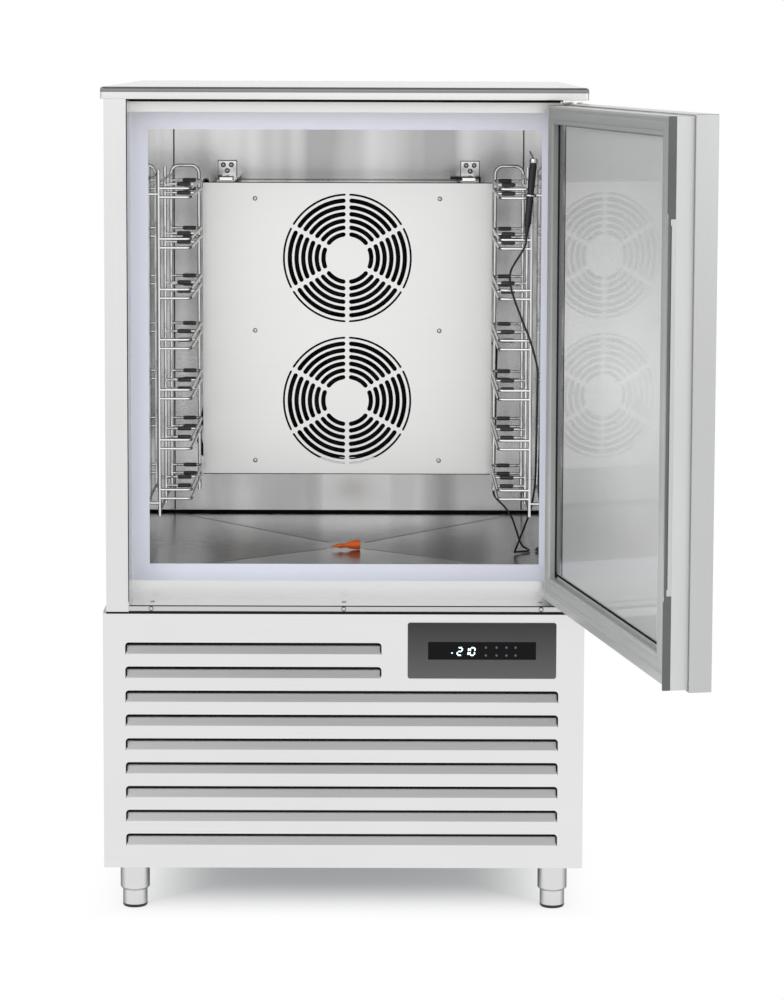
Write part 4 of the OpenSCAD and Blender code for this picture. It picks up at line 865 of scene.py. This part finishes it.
# core probe: handle with finger rings, bright collar, angled needle, and the ring that holds it
def makeProbe():
    base, lean = probe["at"], probe["lean"]
    handle = [(2, -21), (2.6, -20.5), (3, -15), (2.7, -13.5),
              (3.5, -12), (3.9, -7), (3.6, -5.5), (4.4, -4),
              (4.8, 0), (5.6, 1), (6.1, 4)]
    for at in range(12, 61, 6):
        handle += [(6.1, at), (5.6, at + 1.4), (5.6, at + 3), (6.1, at + 4.4)]
    handle += [(6.1, 70), (6.2, 85), (6.2, 100), (5.8, 103.3), (5, 104)]
    addPiece("probe_grip", [turned(handle, base, probeAxis, 28)], "probeBlack", ["probe_handle"])
    collar = [(5.8, 0), (6.6, 0.6), (6.6, 6), (5.8, 7.2), (3, 7.8),
              (0.5, 8)]
    needle = [(1.8, 0), (1.6, 4), (1.6, 86), (1.2, 90), (0.3, 93.8)]
    # the needle points back, tipped off the handle's axis and turned a little aside
    tip, aside = math.radians(84), math.radians(2)
    sideways, back = -math.sin(tip) * math.sin(aside), math.sin(tip) * math.cos(aside)
    side = np.array([math.cos(lean), 0, -math.sin(lean)])
    needleAxis = sideways * side + (0, back, 0) + math.cos(tip) * probeAxis
    addPiece("probe_spike", [turned(collar, base + probeAxis * 0.104, probeAxis, 28),
                             turned(needle, base + probeAxis * 0.1105, needleAxis, 16)],
             "wire", ["probe_needle"])
    turn = np.linspace(0, 2 * math.pi, 41)[:-1, None]
    ring = base + probeAxis * 0.05 + 0.0085 * (np.cos(turn) * side + np.sin(turn) * (0, 1, 0))
    addPiece("probe_ring", [tube(ring, 0.002, 12, closed=True),
                            rod((0.31, -0.3168, 1.206), (0.31, -0.3072, 1.206), 4, 0.0018, 10)],
             "wire", ["probe_clip"])


# a flat plate in the X-Z plane with holes: outlines are filled as a curve and made a mesh
def cutPlate(outline, holes, front, thick):
    data = bpy.data.curves.new("outline", "CURVE")
    data.dimensions = "2D"
    data.fill_mode = "BOTH"
    data.extrude = thick / 2
    for ring in [outline] + holes:
        spline = data.splines.new("POLY")
        spline.points.add(len(ring) - 1)
        flat = np.column_stack([ring, np.zeros(len(ring)), np.ones(len(ring))])
        spline.points.foreach_set("co", flat.ravel())
        spline.use_cyclic_u = True
    holder = addObject("outline", data)
    mesh = evaluatedMesh(holder)
    bpy.data.objects.remove(holder)
    closeShells(mesh, 0.000002)
    verts = np.array([v.co[:] for v in mesh.vertices])
    # drawn in X-Y, the plate is stood up: Y becomes Z and its thickness runs along Y
    stood = np.column_stack([verts[:, 0], front + thick / 2 - verts[:, 2], verts[:, 1]])
    return stood, [tuple(face.vertices) for face in mesh.polygons]


# one arc-shaped slot with round ends, between two spokes
def arcSlot(centre, inner, outer, start, end):
    middle, half = (inner + outer) / 2, (outer - inner) / 2
    lean = half / middle
    along = np.linspace(start + lean, end - lean, 14)
    points = [(outer * math.cos(a), outer * math.sin(a)) for a in along]
    for angle, side in ((end - lean, 1), (start + lean, -1)):
        for t in np.linspace(0, math.pi, 7)[1:-1]:
            r, off = middle + half * math.cos(t) * side, half * math.sin(t) * side
            points.append((r * math.cos(angle) - off * math.sin(angle),
                           r * math.sin(angle) + off * math.cos(angle)))
        if side == 1:
            points += [(inner * math.cos(a), inner * math.sin(a)) for a in along[::-1]]
    return np.array(points) + centre


def makeFanPanel():
    settings = {"rings": 6, "hub": 0.039, "slot": 0.008, "pitch": 0.0121, "spoke": 0.0063,
                "rim": 0.116, "rimSlot": 0.0036, "sheet": 0.0015, "lip": 0.015, "spokes": 6,
                "fans": (0.815, 1.073)}
    (x0, front, z0), (x1, _, z1), sheet = fanPanelLow, fanPanelHigh, settings["sheet"]
    bands = [(settings["hub"] + k * settings["pitch"],
              settings["hub"] + k * settings["pitch"] + settings["slot"])
             for k in range(settings["rings"])]
    bands.append((settings["rim"] - settings["rimSlot"], settings["rim"]))
    holes, each = [], 2 * math.pi / settings["spokes"]
    for centreZ in settings["fans"]:
        for inner, outer in bands:
            # half a spoke's width is left at both ends, as an angle at the slot's middle
            gap = settings["spoke"] / (inner + outer)
            for start in (each * (k + 0.5) for k in range(settings["spokes"])):
                holes.append(arcSlot((0, centreZ), inner, outer, start + gap, start + each - gap))
    outline = np.array([(x0, z0), (x1, z0), (x1, z1), (x0, z1)])
    near, far = front + 0.0004, front + settings["lip"]
    edge = [((x0, near, z0), (x0 + sheet, far, z1)), ((x1 - sheet, near, z0), (x1, far, z1)),
            ((x0 + sheet, near, z0), (x1 - sheet, far, z0 + sheet)),
            ((x0 + sheet, near, z1 - sheet), (x1 - sheet, far, z1))]
    addPiece("fan_panel_sheet", [cutPlate(outline, holes, front, sheet)]
             + softBlocks(edge, 0.0003, 1), "fanSteel", ["fan_panel"])


# hooks over the fan panel: a white plate on the back wall, a darker arm and a folded hook
def makeBrackets():
    settings = {"plateX": 0.227, "hookX": 0.218, "railX": 0.166, "hook": 0.016, "plate": 0.0175,
                "lip": 0.0125, "rail": 0.012, "railZ": (0.69, 1.2)}
    back, face, (foot, head) = chamber["backY"], fanPanelLow[1], settings["railZ"]
    half, arm, lip, rail = (settings[k] for k in ("plate", "hook", "lip", "rail"))
    armZ, hookY, outward = fanPanelHigh[2] + 0.002, face - 0.004, (0, -1, 0)
    plates, arms, dark, heads = [], [], [], []
    for side in (-1, 1):
        px, hx, rx = (side * settings[k] for k in ("plateX", "hookX", "railX"))
        plates.append(softBlock((px - half, back - 0.003, armZ), (px + half, back, armZ + 0.029),
                                0.0012))
        # painted shade: a dark outline round the plate, and a dark ring round each screw
        dark.append(softBlock((px - half - 0.0006, back - 0.0012, armZ - 0.0006),
                              (px + half + 0.0006, back - 0.0002, armZ + 0.0296), 0.0004, 2))
        for dx, dz in ((-0.0075, 0.021), (0.0075, 0.021), (0, 0.01)):
            place = (px + dx, back - 0.003, armZ + dz)
            heads.append(screwHead(place, outward, 3.1, 2))
            dark.append(washer(3.3, 4.7, 0.5, place, outward, 18))
        arms.append(softBlock((hx - arm, hookY, armZ), (hx + arm, back - 0.0031, armZ + 0.003),
                              0.0008, 2))
        # the folded hook: an upright lip over the panel's edge, with a painted shade line round it
        plates.append(softBlock((hx - lip, hookY, armZ - 0.0005),
                                (hx + lip, hookY + 0.003, armZ + 0.0085), 0.0014))
        dark.append(softBlock((hx - lip - 0.0013, hookY + 0.0012, armZ - 0.0012),
                              (hx + lip + 0.0013, hookY + 0.0034, armZ + 0.0098), 0.0016))
        arms += softBlocks([((rx - rail, face + 0.0015, foot), (rx + rail, face + 0.003, head))]
                           + [((x, face + 0.002, foot), (x + 0.0015, face + 0.092, head))
                              for x in (rx - rail, rx + rail - 0.0015)], 0.0005, 2)
    addPiece("bracket_plates", plates, "plateSteel", like="fan_panel_brackets")
    addPiece("bracket_arms", arms, "bracketSteel", ["fan_panel_brackets"])
    addPiece("bracket_screws", heads, "screw", like="fan_panel_brackets")
    addPiece("bracket_shade_lines", dark, "cornerSeam", like="fan_panel_brackets")


# display: seven-segment digits built from six-sided bars, and plain touch marks
def segmentBars(char):
    lit = {"2": "abged", "1": "bc", "0": "abcdef", "-": "g"}[char]
    ends = {"a": ((0, 1), (1, 1)), "b": ((1, 1), (1, 0.5)), "c": ((1, 0.5), (1, 0)),
            "d": ((0, 0), (1, 0)), "e": ((0, 0.5), (0, 0)), "f": ((0, 1), (0, 0.5)),
            "g": ((0, 0.5), (1, 0.5))}
    return [ends[s] for s in lit]


def makeDisplay():
    settings = {"high": 0.0128, "wide": 0.0075, "bar": 0.00105, "slant": 0.12, "gap": 0.0006,
                "thick": 0.0002, "top": 0.46825, "fromTop": 0.0221}
    face, r, thick = windowLow[1], settings["bar"], settings["thick"]
    parts = []
    for char, x in zip("-210", (0.1775, 0.1885, 0.199, 0.2095)):
        high, wide = settings["high"], settings["wide"]
        if char == "-":
            high, wide = high * 0.6, wide * 0.55
        for ends in segmentBars(char):
            a, b = (np.array([x + u * wide + v * high * settings["slant"],
                              settings["top"] - settings["fromTop"] + v * high]) for u, v in ends)
            along = (b - a) / np.linalg.norm(b - a)
            across = np.array([-along[1], along[0]])
            a, b = a + along * settings["gap"], b - along * settings["gap"]
            ring = np.array([a, a + (along + across) * r, b + (across - along) * r, b,
                             b - (across + along) * r, a + (along - across) * r])
            verts = [np.column_stack([ring[:, 0], np.full(6, y), ring[:, 1]])
                     for y in (face + thick, face - thick)]
            parts.append((np.vstack(verts), ringFaces(2, 6)))
    addPiece("display_digits", parts, "digits", like="display_window")
    profile = [(1.9, 0), (1.9, 0.3), (1.3, 0.3), (1.3, 0.1)]
    marks = [turned(profile, (x, face, settings["top"] - below), (0, -1, 0), 16)
             for x in (0.2364, 0.2541, 0.2705, 0.2857) for below in (0.0223, 0.0091)]
    addPiece("touch_marks", marks, "icons", like="display_window")


makeWorktop()
makeSeams()
makeCornerShade()
makeCoverAndStrainer()
makeLouvreShadows()
makeBreaker()
makeScrews()
makeRacks()
makeSleeves()
makeProbe()
makeFanPanel()
makeBrackets()
makeDisplay()
print("cabinet pieces made")


# a door piece: drawn with the door closed, then swung to where it stands
def addToDoor(name, parts, finish, replaced=(), like=None):
    settings = {"openAngle": 101, "pivot": (0.377, -0.405)}
    angle, (px, py) = math.radians(settings["openAngle"]), settings["pivot"]
    swung = []
    for verts, faces in parts:
        x, y = verts[:, 0] - px, verts[:, 1] - py
        swung.append((np.column_stack([px + x * math.cos(angle) - y * math.sin(angle),
                                       py + x * math.sin(angle) + y * math.cos(angle),
                                       verts[:, 2]]), faces))
    addPiece(name, swung, finish, replaced, like)


# outer leaf, pressed liner, gasket and edge strip; x runs from the free edge to the hinge
# edge, and the depths are the leaf's front and back and the inner face
def makeDoor():
    settings = {"x": (-0.3535, 0.395), "y": (-0.425, -0.391, -0.365), "z": (0.532, 1.36),
                "over": 0.007, "lip": 0.003, "gasket": (-0.341, 0.348, 0.556, 1.356),
                "gasketWide": 0.028, "gasketBack": -0.3524, "grip": (0.673, 1.211),
                "groove": 0.011, "hingeBand": 0.052, "edgeBand": 0.03}
    (x0, x1), (z0, z1), lip = settings["x"], settings["z"], settings["lip"]
    front, leafBack, inner = settings["y"]
    stripX = x0 + settings["over"]
    addToDoor("door_leaf", [softBlock((x0, front, z0), (x1, leafBack, z1), 0.0011)],
              "doorSteel", ["door_skin"])
    pan = softBlock((stripX, leafBack - 0.0008, z0 + lip), (x1, inner, z1 - lip), 0.001)
    addToDoor("door_liner_pan", [pan], "panSteel", ["door_liner"])
    # the liner's field lies inside the gasket, with a shaded groove on the hinge side and foot
    gx0, gx1, gz0, gz1 = settings["gasket"]
    wide, groove = settings["gasketWide"], settings["groove"]
    bx0, bx1, bz0, bz1 = gx0 + wide, gx1 - wide, gz0 + wide, gz1 - wide
    fx0, fx1 = bx0 + settings["edgeBand"], bx1 - settings["hingeBand"]
    fz0, fz1 = bz0 + groove, bz1 - 0.0006
    rim = softBlock((bx0 + 0.0006, inner - 0.001, fz0), (bx1 - groove, inner + 0.0014, fz1),
                    0.0008, 2)
    addToDoor("door_rim", [rim], "rimSteel", like="door_liner")
    field = softBlock((fx0, inner, fz0 + 0.0006), (fx1, inner + 0.0022, fz1 - 0.0006), 0.0008)
    addToDoor("door_field", [field], "doorField", like="door_liner")
    shade = [(bx1 - groove + 0.0005, bx1 - 0.0005, bz0 + 0.001, bz1 - 0.001),
             (bx0 + 0.002, bx1 - 0.001, bz0 + 0.0055, bz0 + 0.0085),
             (fx1 + 0.0006, fx1 + 0.006, fz0, fz1), (fx0 - 0.0032, fx0 - 0.0006, fz0, fz1)]
    lines = softBlocks([((a, inner, c), (b, inner + 0.0018, d)) for a, b, c, d in shade],
                       0.0003, 1)
    addToDoor("door_groove_shade", lines, "shadow", like="door_liner")
    # bellows profile: foot, two ribs and a flat magnet face, as (outward, back) points
    back = settings["gasketBack"]
    profile = [(0.0, inner), (0.0, back - 0.003), (0.002, back - 0.0012), (0.007, back - 0.0022),
               (0.0095, back - 0.0004), (0.0185, back - 0.0004), (0.021, back - 0.0022),
               (0.026, back - 0.0012), (wide, back - 0.003), (wide, inner + 0.004),
               (0.0255, inner + 0.002), (0.0255, inner)]
    addToDoor("door_seal", [mitredFrame((bx0, bx1, bz0, bz1), profile)], "gasket",
              ["door_gasket"])
    stripEnd, stripBack, split = gx0 - 0.0005, back - 0.0015, inner + 0.0066
    low, high = settings["grip"]
    strips = softBlocks([((stripX, inner - 0.0005, a), (stripEnd, stripBack, b))
                         for a, b in ((z0 + lip, low), (high, z1 - lip))], 0.0012)
    low, high = low - 0.001, high + 0.001
    strips.append(softBlock((stripX, split, low), (stripX + 0.002, stripBack, high), 0.0006))
    addToDoor("edge_strip", strips, "edgeStrip", ["door_edge_strip"])
    rails = [((stripX + 0.0001, inner - 0.0005, low), (stripX + 0.002, split - 0.0008, high)),
             ((stripX + 0.0002, stripBack - 0.0022, low),
              (stripX + 0.003, stripBack + 0.0002, high))]
    addToDoor("grip_rail", softBlocks(rails, 0.0006), "doorFlange", like="door_edge_strip")
    caps = [((stripX + 0.0004, inner + 0.0006, z - 0.009),
             (stripEnd + 0.0003, stripBack + 0.0003, z + 0.009)) for z in settings["grip"]]
    addToDoor("grip_caps", softBlocks(caps, 0.0014), "cap", like="door_edge_strip")


makeDoor()
print("door made")


# steel sleeves on plates with four bolts each, and the black feet that screw up into them
def makeFeet():
    settings = {"x": 0.354, "y": 0.352, "sleeve": 25, "foot": 21, "plate": 0.042, "low": 30,
                "bolt": 0.035}
    r, s, low = settings["foot"], settings["sleeve"], settings["low"]
    half, bolt = settings["plate"], settings["bolt"]
    sleeve = [(0.5, low + 0.6), (r + 0.06, low + 0.5), (s - 3.5, low + 0.5),
              (s - 3, low), (s - 0.2, low + 3.2), (s, low + 4.5), (s, 87.5),
              (s - 1, 87.9), (0.5, 87.9)]
    head = [(5.5, 0.5), (5.5, 4), (4.8, 4.6), (0.5, 4.8)]
    foot = [(r - 1.5, 0), (r - 0.3, 1.6), (r, 4.5), (r - 0.6, 5.2)]
    stem = [(r - 0.6, 4.9), (r - 0.1, 5.5), (r - 0.1, 82)]
    places = {"front_left_foot": (-1, -1), "front_right_foot": (1, -1),
              "rear_left_foot": (-1, 1), "rear_right_foot": (1, 1)}
    collars, feet = [], []
    for name, (sideX, sideY) in places.items():
        x, y = sideX * settings["x"], sideY * settings["y"]
        collars += [turned(sleeve, (x, y, 0)),
                    softBlock((x - half, y - half, 0.085), (x + half, y + half, 0.088), 0.001, 2)]
        collars += [turned(head, (x + a, y + b, 0.0858), (0, 0, -1), 6)
                    for a in (-bolt, bolt) for b in (-bolt, bolt)]
        feet.append((name, turned(foot, (x, y, 0)), turned(stem, (x, y, 0))))
    addPiece("foot_collars", collars, "footSteel", ["foot_sleeves"])
    for name, base, shaft in feet:
        addPiece(name + "_base", [base], "footBlack", [name])
        addPiece(name + "_stem", [shaft], "footSteel", like=name)


# the drain plug lies on its side on the chamber floor
def makePlug():
    swing, turn = math.radians(-92), math.radians(12)
    axis = (math.sin(swing) * math.cos(turn), math.sin(swing) * math.sin(turn), math.cos(swing))
    profile = [(7.5, 0), (8.8, 0.8), (9, 2.5), (7.5, 12.5), (6.2, 17.8),
               (5, 19.5), (3.6, 24.5), (3, 27), (3, 29.5),
               (4.2, 31.5), (4.6, 34), (4.2, 36.5), (2.7, 38.5),
               (2.2, 42), (1, 51)]
    addPiece("plug", [turned(profile, (0.024, -0.084, 0.5757), axis, 28)], "orange",
             ["drain_plug"])


makeFeet()
makePlug()
print("feet and plug made")
